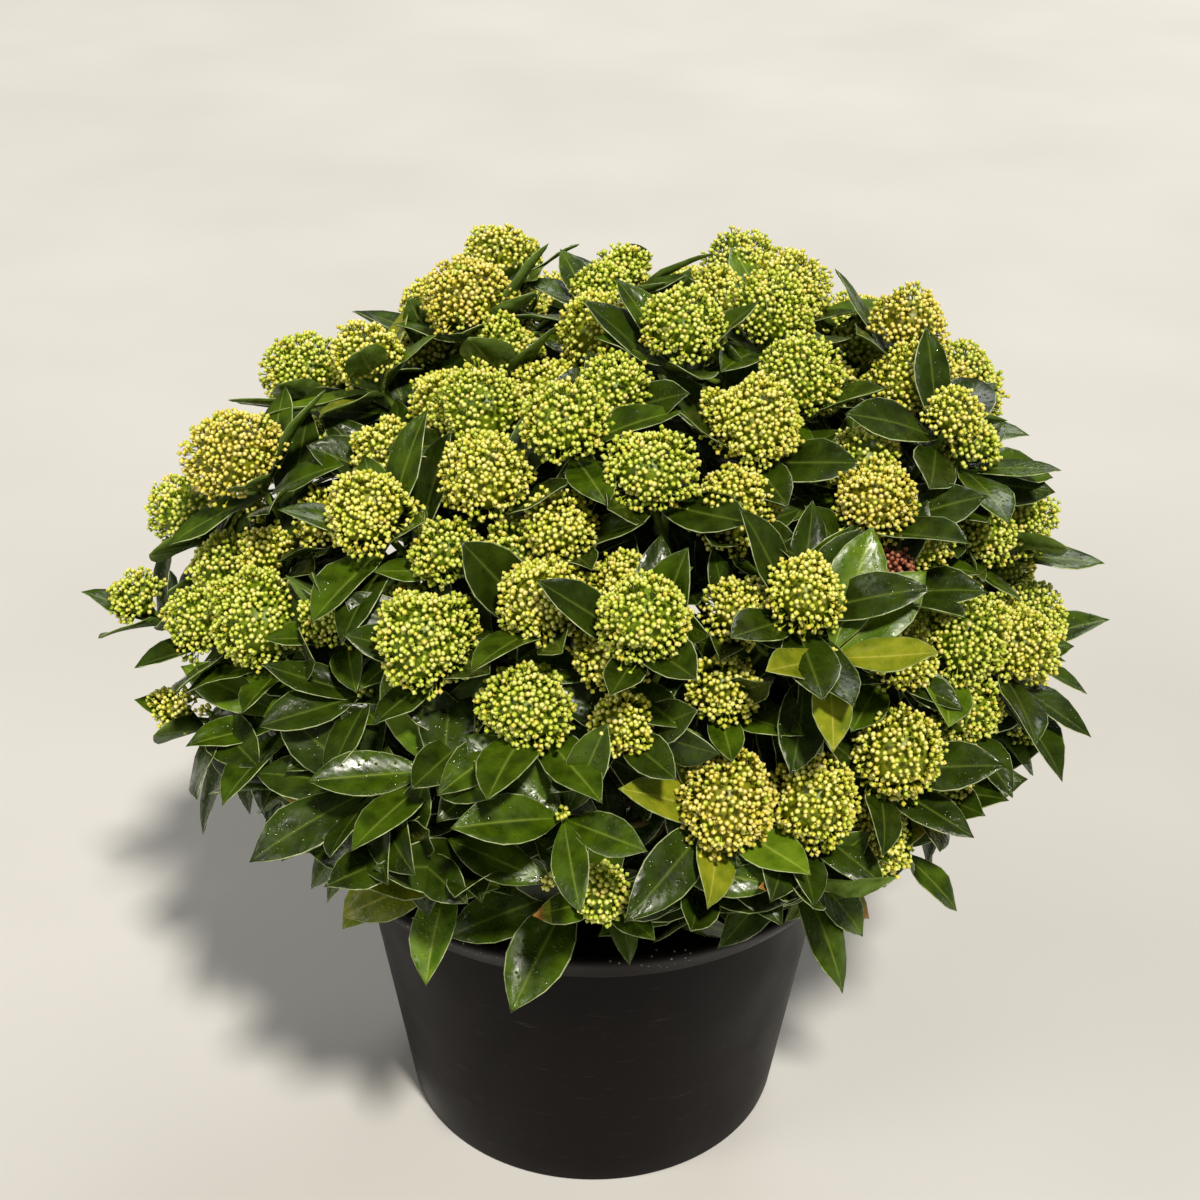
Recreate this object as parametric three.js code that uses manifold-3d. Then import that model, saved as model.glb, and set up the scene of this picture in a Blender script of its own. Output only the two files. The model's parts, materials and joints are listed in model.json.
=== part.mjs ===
// A skimmia: a dense evergreen shrub in bud, grown in a round black nursery pot.
//
// Millimetres, +Z up. The origin is the middle of the pot's flat underside.
// The pot holds potting soil. A short trunk stands on it and carries a leader and a
// ring of boughs, and branches fork off the boughs. Every one of these limbs ends in
// a mass of foliage: a stem, a dark core, twigs, and on each twig's tip a whorl of
// leaves, most of them round a domed head of flower buds.
import * as THREE from "three";
import { mergeVertices } from "three/addons/utils/BufferGeometryUtils.js";
import Module from "manifold-3d";

// ---- driving dimensions, in millimetres and degrees ----

const CLEARANCE = 0.3; // air left between neighbouring pieces
const TRIM = 1.25 * CLEARANCE; // at the corners of a faceted limb, so that its flats keep it
const SEED = 4.7; // another value grows another plant of the same kind

const POT = {
  height: 190,
  baseRadius: 101,
  bodyRadius: 126, // outside, just under the rolled rim
  rimRadius: 149,
  rimDrop: 20, // height of the rolled rim
  wall: 2,
  floor: 3,
  sides: 36,
};
const DRAIN = { count: 8, radius: 6, ring: 78, sides: 8 };
const SOIL = { height: 168, flatRadius: 26, rise: 3.5, sides: 24 };
const TRUNK = { height: 46, flareRadius: 19, radius: 13.5, sides: 10 };

const CROWN = {
  forkHeight: 210, // the growth fans out from this point on the pot's axis
  spread: 256, // reach of the growth out from the pot's axis
  height: 238, // reach of the growth above the fork
  shoulder: 2.1, // 2 is an ellipsoid, more is a boxier dome
  lean: 0.17, // drift towards +X per mm of height
  lowestRise: 0, // degrees above level of the lowest shoots
  skirtReach: 114, // how far those lowest shoots reach
  skirtEase: 22, // degrees of rise over which the reach grows to full
  shoots: 110,
  jitter: 0.085, // how far a shoot strays from the even pattern, in radians
  unevenness: 0.05, // how much longer or shorter a shoot grows
  lift: 0.75, // how strongly the shoots turn up
};
const LOW = {
  azimuth: 180,
  rise: 21,
  hubReach: 146,
  vigour: [1.12, 0.97, 1.0, 1.0, 1.0, 0.97, 1.0],
};
const HIGH = {
  azimuth: 152,
  rise: 50,
  hubReach: 158,
  vigour: [1.06, 1.0, 1.0, 1.02, 1.0],
};
const TOP = { hubReach: 164, vigour: 1.0 };

const BOUGH = { rootRadius: 6.6, tipRadius: 4.6, tipGap: 54, sides: 5, steps: 4 };
const BRANCH = { rootRadius: 5.6, tipRadius: 4.2, from: 0.42, sides: 5, steps: 3 };
const LEADER = { rootRadius: 7.5, tipRadius: 4.8, sides: 7, steps: 3 };
const STEM = { rootRadius: 3.9, tipRadius: 3, sides: 5 };
const CORE = { across: 58, upright: 48, deep: 40, sides: 7, rings: 5 };
const TWIG = { rootRadius: 2.5, tipRadius: 1.7, sides: 3, steps: 2 };

const HEAD = {
  least: 15.5,
  most: 23,
  flowering: [0.42, 1], // share of shoots that flower, at the skirt and above
  fullFrom: 30, // degrees of rise above which nearly all of them flower
  sides: 7,
  rings: 3,
};
const LEAF = {
  length: 62,
  width: 29,
  thickness: 1.4,
  fold: 0.16, // how far the two halves fold up from the midrib
  arch: 0.18, // how far the tip bends down, as a share of the length
  droop: 0.26, // how steeply a leaf may hang at its root
};
const WHORL = { candidates: 10, roundHead: 4, onBareTip: 5 };

const GOLDEN_ANGLE = Math.PI * (3 - Math.sqrt(5));
const GOLDEN_RATIO = (1 + Math.sqrt(5)) / 2;
const UP = new THREE.Vector3(0, 0, 1);
const FORK = new THREE.Vector3(0, 0, CROWN.forkHeight);
const rad = THREE.MathUtils.degToRad;
const { lerp, clamp, smoothstep } = THREE.MathUtils;

const wasm = await Module();
wasm.setup();

// ---- seeded chance, vectors and solids ----

/** An even value from 0 to 1 that belongs to one item and one of its draws. */
function chance(item, draw) {
  const wave = Math.sin(item * 12.9898 + draw * 78.233 + SEED) * 43758.5453;
  return wave - Math.floor(wave);
}

function between(low, high, item, draw) {
  return lerp(low, high, chance(item, draw));
}

/** The unit vector at an azimuth from +X and a rise above level, in radians. */
function heading(azimuth, rise) {
  return new THREE.Vector3(
    Math.cos(azimuth) * Math.cos(rise),
    Math.sin(azimuth) * Math.cos(rise),
    Math.sin(rise),
  );
}

function along(start, direction, distance) {
  return start.clone().addScaledVector(direction, distance);
}

/** The solid that a closed geometry bounds. */
function solidOf(geometry) {
  const bare = new THREE.BufferGeometry();
  bare.setAttribute("position", geometry.getAttribute("position"));
  bare.setIndex(geometry.index);
  const merged = mergeVertices(bare, 1e-3);
  return new wasm.Manifold(
    new wasm.Mesh({
      numProp: 3,
      vertProperties: new Float32Array(merged.attributes.position.array),
      triVerts: new Uint32Array(soundTriangles(merged.index.array)),
    }),
  );
}

/** The triangles without those that have collapsed, and without pairs that lie back to back. */
function soundTriangles(corners) {
  const faces = new Map();
  for (let i = 0; i < corners.length; i += 3) {
    const face = corners.slice(i, i + 3);
    const [a, b, c] = face;
    if (a === b || b === c || a === c) continue;
    const key = [...face].sort((p, q) => p - q).join();
    if (faces.has(key)) faces.delete(key);
    else faces.set(key, face);
  }
  return [...faces.values()].flatMap((face) => [...face]);
}

function geometryOf(solid) {
  const mesh = solid.getMesh();
  const geometry = new THREE.BufferGeometry();
  geometry.setAttribute("position", new THREE.BufferAttribute(mesh.vertProperties, 3));
  geometry.setIndex(new THREE.BufferAttribute(mesh.triVerts, 1));
  geometry.computeVertexNormals();
  return geometry;
}

/** The largest body of a solid: loose scraps are dropped and sealed hollows filled. */
function mainBody(solid) {
  return solid
    .decompose()
    .reduce((most, body) => (body.volume() > most.volume() ? body : most));
}

/** The solid with its corners moved to the nearest hundredth of a millimetre. */
function onGrid(solid) {
  const geometry = geometryOf(solid);
  const position = geometry.getAttribute("position");
  position.array.forEach((value, i) => {
    position.array[i] = Math.round(value * 100) / 100;
  });
  return mainBody(solidOf(geometry));
}

/** A place where an edge is shared by more than two faces, if a solid has one. */
function flawIn(solid) {
  const { vertProperties, triVerts } = solid.getMesh();
  const place = (corner) => [...vertProperties.slice(3 * corner, 3 * corner + 3)];
  const edges = new Set();
  for (let i = 0; i < triVerts.length; i += 1) {
    const next = i % 3 === 2 ? i - 2 : i + 1;
    const edge = `${place(triVerts[i])} ${place(triVerts[next])}`;
    if (edges.has(edge)) return place(triVerts[i]);
    edges.add(edge);
  }
  return null;
}

/** The pieces as one sound body: where a flaw would arise, the latest piece is left out. */
function fuse(pieces) {
  const whole = onGrid(mainBody(wasm.Manifold.union(pieces)));
  const flaw = flawIn(whole);
  if (!flaw) return whole;
  const there = pieces.findLastIndex((piece) => {
    const box = piece.boundingBox();
    return flaw.every((value, axis) => box.min[axis] <= value && value <= box.max[axis]);
  });
  return fuse(pieces.toSpliced(there, 1));
}

// ---- the pot and what fills it ----

/** A turned solid: the profile holds [radius, height] pairs in mm. */
function turned(profile, sides) {
  const points = profile.map(([radius, height]) => new THREE.Vector2(radius, height));
  return new THREE.LatheGeometry(points, sides).rotateX(Math.PI / 2);
}

function makePot() {
  const { height, baseRadius, bodyRadius, rimRadius, rimDrop, wall, floor, sides } = POT;
  const shoulder = height - rimDrop;
  const profile = [
    [0, 0],
    [baseRadius - 2, 0],
    [baseRadius, 3],
    [bodyRadius, shoulder],
    [bodyRadius + 3, height - 7], // up inside the hollow rolled rim
    [rimRadius - 6, height - 8],
    [rimRadius - 14, shoulder + 1],
    [rimRadius - 12, shoulder - 1],
    [rimRadius, height - 5],
    [rimRadius - 3, height],
    [bodyRadius + 8, height],
    [bodyRadius - wall, shoulder],
    [baseRadius - wall, floor],
    [0, floor],
  ];
  let pot = solidOf(turned(profile, sides));
  for (let hole = 0; hole < DRAIN.count; hole += 1) {
    const azimuth = ((hole + 0.5) / DRAIN.count) * 2 * Math.PI;
    const drill = new THREE.CylinderGeometry(DRAIN.radius, DRAIN.radius, 4 * floor, DRAIN.sides)
      .rotateX(Math.PI / 2)
      .translate(DRAIN.ring * Math.cos(azimuth), DRAIN.ring * Math.sin(azimuth), 0);
    pot = pot.subtract(solidOf(drill));
  }
  return pot;
}

/** The potting soil fills the pot, and is flat where the trunk stands. */
function makeSoil() {
  const { height, flatRadius, rise, sides } = SOIL;
  const slope = (POT.bodyRadius - POT.baseRadius) / (POT.height - POT.rimDrop - POT.floor);
  const insideRadius = (level) =>
    POT.baseRadius - POT.wall + slope * (level - POT.floor) - TRIM;
  const bottom = POT.floor + CLEARANCE;
  const brim = height - rise;
  // a many-sided filling fits a many-sided pot while its corners stay within the flats
  const fit = Math.cos(Math.PI / POT.sides);
  const profile = [
    [0, bottom],
    [insideRadius(bottom) * fit, bottom],
    [insideRadius(brim) * fit, brim],
    [insideRadius(brim) * 0.72, height - 0.4 * rise],
    [flatRadius, height],
    [0, height],
  ];
  return solidOf(turned(profile, sides));
}

// ---- limbs ----

/** A round tapering limb along a smooth curve through the points. */
function limb(points, rootRadius, tipRadius, sides, steps) {
  const curve = new THREE.CatmullRomCurve3(points);
  const frames = curve.computeFrenetFrames(steps, false);
  const geometry = new THREE.CylinderGeometry(1, 1, 1, sides, steps);
  const position = geometry.getAttribute("position");
  for (let i = 0; i < position.count; i += 1) {
    const step = Math.round((position.getY(i) + 0.5) * steps);
    const radius = lerp(rootRadius, tipRadius, step / steps);
    const place = curve
      .getPointAt(step / steps)
      .addScaledVector(frames.binormals[step], position.getX(i) * radius)
      .addScaledVector(frames.normals[step], position.getZ(i) * radius);
    position.setXYZ(i, place.x, place.y, place.z);
  }
  return solidOf(geometry);
}

function makeTrunk(spare = 0) {
  const { height, flareRadius, radius, sides } = TRUNK;
  const foot = SOIL.height + CLEARANCE - spare;
  const top = SOIL.height + height + spare;
  const profile = [
    [0, foot],
    [flareRadius + spare, foot],
    [radius + 1.5 + spare, foot + 0.22 * height],
    [radius - 1 + spare, foot + 0.5 * height],
    [radius + spare, foot + 0.84 * height],
    [radius - 3 + spare, top],
    [0, top],
  ];
  const leaned = new THREE.Matrix4().makeShear(0, 0, 0, 0, CROWN.lean, 0);
  leaned.setPosition(-CROWN.lean * SOIL.height, 0, 0);
  return solidOf(turned(profile, sides).applyMatrix4(leaned));
}

/** The trunk's middle at a share of its height. */
function inTrunk(share) {
  const rise = share * TRUNK.height;
  return new THREE.Vector3(CROWN.lean * rise, 0, SOIL.height + rise);
}

/** A bough's line: out of the trunk, over the pot's rim and up to the mass. */
function boughPath(mass) {
  const tip = along(mass.hub, mass.stemHeading, -BOUGH.tipGap);
  const root = inTrunk(0.3 + 0.55 * ((mass.index * GOLDEN_RATIO) % 1));
  const sideways = heading(mass.azimuth + Math.PI / 2, 0);
  const outwards = heading(mass.azimuth, 0);
  const knee = along(root, outwards, 36).add(new THREE.Vector3(0, 0, 9));
  const neck = along(tip, mass.stemHeading, -20);
  const middle = knee.clone().lerp(neck, 0.5);
  middle.addScaledVector(sideways, between(-6, 6, mass.index, 11));
  return [root, knee, middle, neck, tip];
}

function makeBough(path, spare) {
  const { rootRadius, tipRadius, sides, steps } = BOUGH;
  return limb(path, rootRadius + spare, tipRadius + spare, sides, steps);
}

/** A branch's line: off the side of its bough and up to the mass above. */
function branchPath(mass, path) {
  const root = new THREE.CatmullRomCurve3(path).getPointAt(BRANCH.from);
  const tip = along(mass.hub, mass.stemHeading, -BOUGH.tipGap);
  return [root, along(tip, mass.stemHeading, -24), tip];
}

function makeBranch(path) {
  const { rootRadius, tipRadius, sides, steps } = BRANCH;
  return limb(path, rootRadius, tipRadius, sides, steps);
}

// ---- masses of foliage ----

/** How far the crown reaches from the fork at a rise above level. */
function reachAt(rise) {
  const { spread, height, shoulder, lowestRise, skirtReach, skirtEase } = CROWN;
  const level = Math.abs(Math.cos(rise) / spread) ** shoulder;
  const upright = Math.abs(Math.sin(rise) / height) ** shoulder;
  const eased = 1 - Math.exp(-Math.max(0, rise - rad(lowestRise)) / rad(skirtEase));
  return lerp(skirtReach, (level + upright) ** (-1 / shoulder), eased);
}

/** A point of the crown at a direction and a distance from the fork, leaned with the crown. */
function inCrown(direction, distance) {
  const point = along(FORK, direction, distance);
  point.x += CROWN.lean * (point.z - FORK.z);
  return point;
}

function planMass(name, index, azimuth, rise, hubReach, vigour) {
  const axis = heading(azimuth, rise);
  const stemHeading = axis.clone().addScaledVector(UP, 0.25).normalize();
  const hub = inCrown(axis, hubReach * vigour);
  return { name, index, azimuth, axis, stemHeading, hub, vigour, shoots: [] };
}

function planRing(name, ring) {
  return ring.vigour.map((vigour, index) => {
    const azimuth = rad(ring.azimuth) + (index / ring.vigour.length) * 2 * Math.PI;
    return planMass(`${name}_${index + 1}`, index, azimuth, rad(ring.rise), ring.hubReach, vigour);
  });
}

/** The shoots of the whole crown: an even spiral from the top down, loosened by chance. */
function planShoots(masses) {
  const shoots = [];
  for (let i = 0; i < CROWN.shoots; i += 1) {
    const share = (i + 0.5) / CROWN.shoots;
    const evenRise = Math.asin(lerp(1, Math.sin(rad(CROWN.lowestRise)), share));
    const rise = clamp(
      evenRise + between(-1, 1, i, 1) * CROWN.jitter,
      rad(CROWN.lowestRise),
      Math.PI / 2,
    );
    const swing = (between(-1, 1, i, 2) * CROWN.jitter) / Math.max(0.3, Math.cos(evenRise));
    const outwards = heading(i * GOLDEN_ANGLE + swing, rise);
    const mass = masses.reduce((best, other) =>
      other.axis.dot(outwards) > best.axis.dot(outwards) ? other : best,
    );
    const reach = reachAt(rise) * mass.vigour * between(1 - CROWN.unevenness, 1 + CROWN.unevenness, i, 3);
    const flowering = lerp(
      HEAD.flowering[0],
      HEAD.flowering[1],
      smoothstep(rise, rad(CROWN.lowestRise), rad(HEAD.fullFrom)),
    );
    const shoot = {
      id: i,
      mass,
      rise,
      tip: inCrown(outwards, reach),
      heading: outwards.clone().addScaledVector(UP, CROWN.lift * Math.cos(rise)).normalize(),
      flowers: chance(i, 4) < flowering,
    };
    mass.shoots.push(shoot);
    shoots.push(shoot);
  }
  return shoots;
}

/** A head is as large as it likes, but gives way to its neighbours. */
function headRadius(shoot, shoots) {
  const wanted = between(HEAD.least, HEAD.most, shoot.id, 5);
  const nearest = Math.min(
    ...shoots.filter((other) => other !== shoot).map((other) => other.tip.distanceTo(shoot.tip)),
  );
  return Math.min(wanted, nearest / 2 - CLEARANCE);
}

function placed(geometry, origin, x, y, z) {
  const frame = new THREE.Matrix4().makeBasis(x, y, z).setPosition(origin);
  return solidOf(geometry.applyMatrix4(frame));
}

/** Two directions square to the axis, the first turned round it by the angle. */
function squareTo(axis, angle) {
  const reference = Math.abs(axis.z) < 0.9 ? UP : new THREE.Vector3(1, 0, 0);
  const first = new THREE.Vector3().crossVectors(reference, axis).normalize();
  first.applyAxisAngle(axis, angle);
  return [first, new THREE.Vector3().crossVectors(axis, first)];
}

/** A domed head of buds: broad and flat below, round above. */
function makeHead(shoot, radius) {
  const geometry = new THREE.SphereGeometry(radius, HEAD.sides, HEAD.rings).rotateX(Math.PI / 2);
  const position = geometry.getAttribute("position");
  const height = between(0.92, 1.12, shoot.id, 6);
  for (let i = 0; i < position.count; i += 1) {
    const z = position.getZ(i);
    position.setZ(i, z * (z < 0 ? 0.72 : height));
  }
  const [x, y] = squareTo(shoot.heading, chance(shoot.id, 7) * Math.PI);
  return placed(geometry, shoot.tip, x, y, shoot.heading);
}

/** An arching leaf blade of eight faces, folded up from its midrib, rooted at 0 along +X. */
function leafGeometry(length, width, thickness, fold, arch) {
  const geometry = new THREE.SphereGeometry(1, 4, 2);
  const position = geometry.getAttribute("position");
  for (let i = 0; i < position.count; i += 1) {
    const run = 0.5 + 0.5 * position.getX(i);
    const aside = 0.5 * width * position.getZ(i);
    const lift = fold * Math.abs(aside) - arch * length * run * run;
    const skin = 0.5 * thickness * position.getY(i);
    position.setXYZ(i, run * length, -aside, lift + skin);
  }
  return geometry;
}

function makeLeaf({ root, outwards, across, size, arch }, spare) {
  const geometry = leafGeometry(
    LEAF.length * size + spare,
    LEAF.width * size + 2 * spare,
    LEAF.thickness + 2 * spare,
    LEAF.fold,
    arch,
  );
  const upperSide = new THREE.Vector3().crossVectors(outwards, across);
  return placed(geometry, root, outwards, across, upperSide);
}

/** Where the leaves of a shoot may be rooted and how they point, the likeliest first. */
function planLeaves(shoot, radius) {
  const below = shoot.flowers ? 0.72 * radius + 2 : 2;
  return Array.from({ length: WHORL.candidates }, (_, i) => {
    const draw = 20 + 4 * i;
    const turn = i * GOLDEN_ANGLE + chance(shoot.id, 8) * 2 * Math.PI;
    const [side] = squareTo(shoot.heading, turn);
    const spread = rad(between(50, 82, shoot.id, draw));
    const outwards = shoot.heading.clone().multiplyScalar(Math.cos(spread));
    outwards.addScaledVector(side, Math.sin(spread));
    outwards.z = Math.max(outwards.z, -LEAF.droop);
    outwards.normalize();
    const across = new THREE.Vector3().crossVectors(shoot.heading, outwards).normalize();
    return {
      root: along(shoot.tip, shoot.heading, -below - i),
      outwards,
      across,
      size: between(0.84, 1.12, shoot.id, draw + 1),
      arch: LEAF.arch * between(0.4, 1.5, shoot.id, draw + 2),
    };
  });
}

/** A twig's line: off the mass's stem, outwards, and in under its tip. */
function twigPath(shoot) {
  const { mass, tip } = shoot;
  const start = along(mass.hub, mass.stemHeading, between(-14, 8, shoot.id, 9));
  const distance = start.distanceTo(tip);
  const turn = along(tip, shoot.heading, -0.4 * distance);
  const middle = start.clone().lerp(turn, 0.62);
  return [start, middle, along(tip, shoot.heading, -0.12 * distance), tip];
}

// ---- growing the masses, each in its own space ----

const claims = []; // every finished solid and whose it is

function claim(owner, solid) {
  claims.push({ owner, solid, box: solid.boundingBox() });
  return solid;
}

function boxesMeet(a, b) {
  return [0, 1, 2].every((axis) => a.min[axis] <= b.max[axis] && b.min[axis] <= a.max[axis]);
}

/** Whether a solid touches nothing but what its kin have claimed. */
function isClear(kin, solid) {
  const box = solid.boundingBox();
  return claims.every(
    (other) =>
      kin.includes(other.owner) ||
      !boxesMeet(box, other.box) ||
      solid.intersect(other.solid).isEmpty(),
  );
}

/** Adds make(0) to the mass if make(CLEARANCE), a little larger, is clear. */
function growIfClear(mass, owner, make) {
  if (!isClear([mass, owner], make(CLEARANCE))) return false;
  mass.pieces.push(claim(owner, make(0)));
  return true;
}

function makeCore(mass, size, spare) {
  const geometry = new THREE.SphereGeometry(1, CORE.sides, CORE.rings)
    .rotateX(Math.PI / 2)
    .scale(CORE.across * size + spare, CORE.upright * size + spare, CORE.deep * size + spare);
  const [x, y] = squareTo(mass.axis, 0);
  return placed(geometry, mass.hub, x, y, mass.axis);
}

/** A mass starts as a stem with a core round it, which gives way to its neighbours. */
function startMass(mass) {
  mass.pieces = [claim(mass, makeStem(mass))];
  let size = 1;
  while (!growIfClear(mass, mass, (spare) => makeCore(mass, size, 3 * spare))) size *= 0.94;
}

function makeStem(mass) {
  const foot = along(mass.hub, mass.stemHeading, -BOUGH.tipGap + CLEARANCE);
  const head = along(mass.hub, mass.stemHeading, 10);
  return limb([foot, mass.hub, head], STEM.rootRadius, STEM.tipRadius, STEM.sides, 2);
}

function growTwigs(mass) {
  mass.shoots = mass.shoots.filter((shoot) => {
    const line = twigPath(shoot);
    const { rootRadius, tipRadius, sides, steps } = TWIG;
    return growIfClear(mass, mass, (spare) =>
      limb(line, rootRadius + spare, tipRadius + spare, sides, steps),
    );
  });
}

function growHeads(mass, shoots) {
  mass.shoots.forEach((shoot) => {
    shoot.radius = headRadius(shoot, shoots);
    shoot.flowers &&= growIfClear(mass, shoot, (spare) => makeHead(shoot, shoot.radius + spare));
  });
}

/** Of the leaves a shoot may bear, it bears the first few that have room. */
function growLeaves(mass) {
  mass.shoots.forEach((shoot) => {
    let wanted = shoot.flowers ? WHORL.roundHead : WHORL.onBareTip;
    planLeaves(shoot, shoot.radius).forEach((leaf) => {
      if (wanted && growIfClear(mass, shoot, (spare) => makeLeaf(leaf, spare))) wanted -= 1;
    });
  });
}

// ---- the plant ----

const plant = new THREE.Group();
const MATERIALS = {
  blackPlastic: new THREE.MeshStandardMaterial({ color: "#1b1a1d", roughness: 0.5 }),
  compost: new THREE.MeshStandardMaterial({ color: "#3a2a1e", roughness: 1 }),
  bark: new THREE.MeshStandardMaterial({ color: "#6b5a3e", roughness: 0.85 }),
  greenBark: new THREE.MeshStandardMaterial({ color: "#6f7c3a", roughness: 0.7 }),
  foliage: new THREE.MeshStandardMaterial({ color: "#6f8c33", roughness: 0.45 }),
};

function addPiece(name, solid, material) {
  const mesh = new THREE.Mesh(geometryOf(solid), material);
  mesh.name = name;
  plant.add(mesh);
}

addPiece("pot", claim("pot", makePot()), MATERIALS.blackPlastic);
addPiece("potting_soil", claim("potting_soil", makeSoil()), MATERIALS.compost);

const lowMasses = planRing("foliage_low", LOW);
const highMasses = planRing("foliage_high", HIGH);
const topMass = planMass("foliage_top", 0, 0, Math.PI / 2, TOP.hubReach, TOP.vigour);
const masses = [...lowMasses, ...highMasses, topMass];
const shoots = planShoots(masses);

addPiece("trunk", claim("trunk", makeTrunk()), MATERIALS.bark);
const trunkRoom = makeTrunk(1.4 * TRIM); // its flanks slope
const leaderTip = along(topMass.hub, topMass.stemHeading, -BOUGH.tipGap);
const leader = limb(
  [inTrunk(0.8), along(leaderTip, topMass.stemHeading, -24), leaderTip],
  LEADER.rootRadius,
  LEADER.tipRadius,
  LEADER.sides,
  LEADER.steps,
).subtract(trunkRoom);
addPiece("leader", claim("leader", mainBody(leader)), MATERIALS.bark);

lowMasses.forEach((mass, index) => {
  mass.boughPath = boughPath(mass);
  const name = `bough_${index + 1}`;
  const bough = makeBough(mass.boughPath, 0).subtract(trunkRoom);
  addPiece(name, claim(name, mainBody(bough)), MATERIALS.bark);
});

highMasses.forEach((mass, index) => {
  const parent = lowMasses.reduce((best, other) =>
    other.axis.dot(mass.axis) > best.axis.dot(mass.axis) ? other : best,
  );
  const room = makeBough(parent.boughPath, TRIM);
  const name = `branch_${index + 1}`;
  const branch = makeBranch(branchPath(mass, parent.boughPath)).subtract(room);
  addPiece(name, claim(name, mainBody(branch)), MATERIALS.greenBark);
});

masses.forEach(startMass);
masses.forEach(growTwigs);
masses.forEach((mass) => growHeads(mass, shoots));
masses.forEach(growLeaves);
masses.forEach((mass) => addPiece(mass.name, fuse(mass.pieces), MATERIALS.foliage));

export default plant;
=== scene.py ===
# A skimmia in bud, in a round black nursery pot: the looks of the plant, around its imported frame.
# Metres, +Z up, origin at the middle of the pot's underside. The plant grows by the rule of its solids:
# limbs out of a short trunk, masses at the limbs' ends, shoots spread over a dome, and on each shoot
# a head of flower buds and a whorl of leaves. Here that rule goes on to side shoots, single buds and
# the leaves of last year.
import json
import math

import bmesh
import bpy
import numpy as np
from mathutils import Matrix, Vector, noise

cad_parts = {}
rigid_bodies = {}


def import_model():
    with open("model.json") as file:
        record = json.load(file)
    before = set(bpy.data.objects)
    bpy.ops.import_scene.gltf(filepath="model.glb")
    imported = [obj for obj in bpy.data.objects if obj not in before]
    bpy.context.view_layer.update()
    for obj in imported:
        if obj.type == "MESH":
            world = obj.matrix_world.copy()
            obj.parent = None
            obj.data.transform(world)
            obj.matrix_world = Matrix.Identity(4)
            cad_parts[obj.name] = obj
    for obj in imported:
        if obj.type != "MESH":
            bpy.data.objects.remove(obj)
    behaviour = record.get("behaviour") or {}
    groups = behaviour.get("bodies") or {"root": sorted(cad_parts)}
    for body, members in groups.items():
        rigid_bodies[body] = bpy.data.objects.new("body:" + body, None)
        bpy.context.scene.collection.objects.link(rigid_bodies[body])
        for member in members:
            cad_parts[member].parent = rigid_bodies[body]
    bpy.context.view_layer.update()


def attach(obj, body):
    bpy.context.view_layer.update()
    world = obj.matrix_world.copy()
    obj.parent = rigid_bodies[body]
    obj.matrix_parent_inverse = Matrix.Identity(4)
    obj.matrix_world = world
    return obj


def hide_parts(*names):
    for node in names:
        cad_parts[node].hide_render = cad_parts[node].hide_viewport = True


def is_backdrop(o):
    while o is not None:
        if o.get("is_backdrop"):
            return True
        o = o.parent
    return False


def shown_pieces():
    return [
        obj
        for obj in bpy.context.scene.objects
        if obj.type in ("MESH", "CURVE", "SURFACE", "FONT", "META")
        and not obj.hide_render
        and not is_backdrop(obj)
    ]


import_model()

mm = 0.001
up = Vector((0, 0, 1))
goldenAngle = math.pi * (3 - math.sqrt(5))
goldenRatio = (1 + math.sqrt(5)) / 2
seed = 4.7  # the plant's own number, the same as its solids have
draws = {  # what is left to chance, each with a number of its own; the solids have the first two rows too
    "rise": 1, "swing": 2, "reach": 3, "flowers": 4, "radius": 5, "height": 6, "turn": 7, "whorl": 8,
    "foot": 9, "sway": 11, "leaf": 20,
    "lastYear": 10, "tint": 13, "fork": 14,
    "oldTint": 60, "shootTint": 61, "leafTint": 62, "brownTip": 63, "paleTint": 64,
    "chipPlace": 70, "chipLength": 71, "chipWidth": 72, "chipHeight": 73, "chipTurn": 74, "chipTilt": 75,
}


def chance(item, draw):  # an even value from 0 to 1 that belongs to an item and a draw, by name or number
    wave = math.sin(item * 12.9898 + draws.get(draw, draw) * 78.233 + seed) * 43758.5453
    return wave - math.floor(wave)


def between(low, high, item, draw):
    return low + (high - low) * chance(item, draw)


def mix(a, b, share):
    return a + (b - a) * share


def smoothStep(value, low, high):
    share = min(1, max(0, (value - low) / (high - low)))
    return share * share * (3 - 2 * share)


def heading(azimuth, rise):
    return Vector((math.cos(azimuth) * math.cos(rise), math.sin(azimuth) * math.cos(rise), math.sin(rise)))


def squareTo(axis, angle=0.0):  # two directions square to the axis, the first turned round it by the angle
    reference = up if abs(axis.z) < 0.9 else Vector((1, 0, 0))
    first = Matrix.Rotation(angle, 3, axis) @ reference.cross(axis).normalized()
    return first, axis.cross(first)


def smoothLine(points, steps):  # a centripetal curve through the points, as evenly spaced points
    ends = [2 * points[0] - points[1], *points, 2 * points[-1] - points[-2]]
    fine = []
    parts = 12  # of each stretch, before they are spaced evenly
    for p0, p1, p2, p3 in zip(ends, ends[1:], ends[2:], ends[3:]):
        t1 = max(1e-6, (p1 - p0).length) ** 0.5
        t2 = t1 + max(1e-6, (p2 - p1).length) ** 0.5
        t3 = t2 + max(1e-6, (p3 - p2).length) ** 0.5
        for i in range(parts):
            t = mix(t1, t2, i / parts)
            a1 = p0.lerp(p1, t / t1)
            a2 = p1.lerp(p2, (t - t1) / (t2 - t1))
            a3 = p2.lerp(p3, (t - t2) / (t3 - t2))
            b1, b2 = a1.lerp(a2, t / t2), a2.lerp(a3, (t - t1) / (t3 - t1))
            fine.append(b1.lerp(b2, (t - t1) / (t2 - t1)))
    fine.append(points[-1].copy())
    runs = np.cumsum([0] + [(b - a).length for a, b in zip(fine, fine[1:])])
    at = np.linspace(0, runs[-1], steps + 1)
    grid = np.array(fine)
    return [Vector([np.interp(run, runs, grid[:, axis]) for axis in range(3)]) for run in at]


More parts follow.
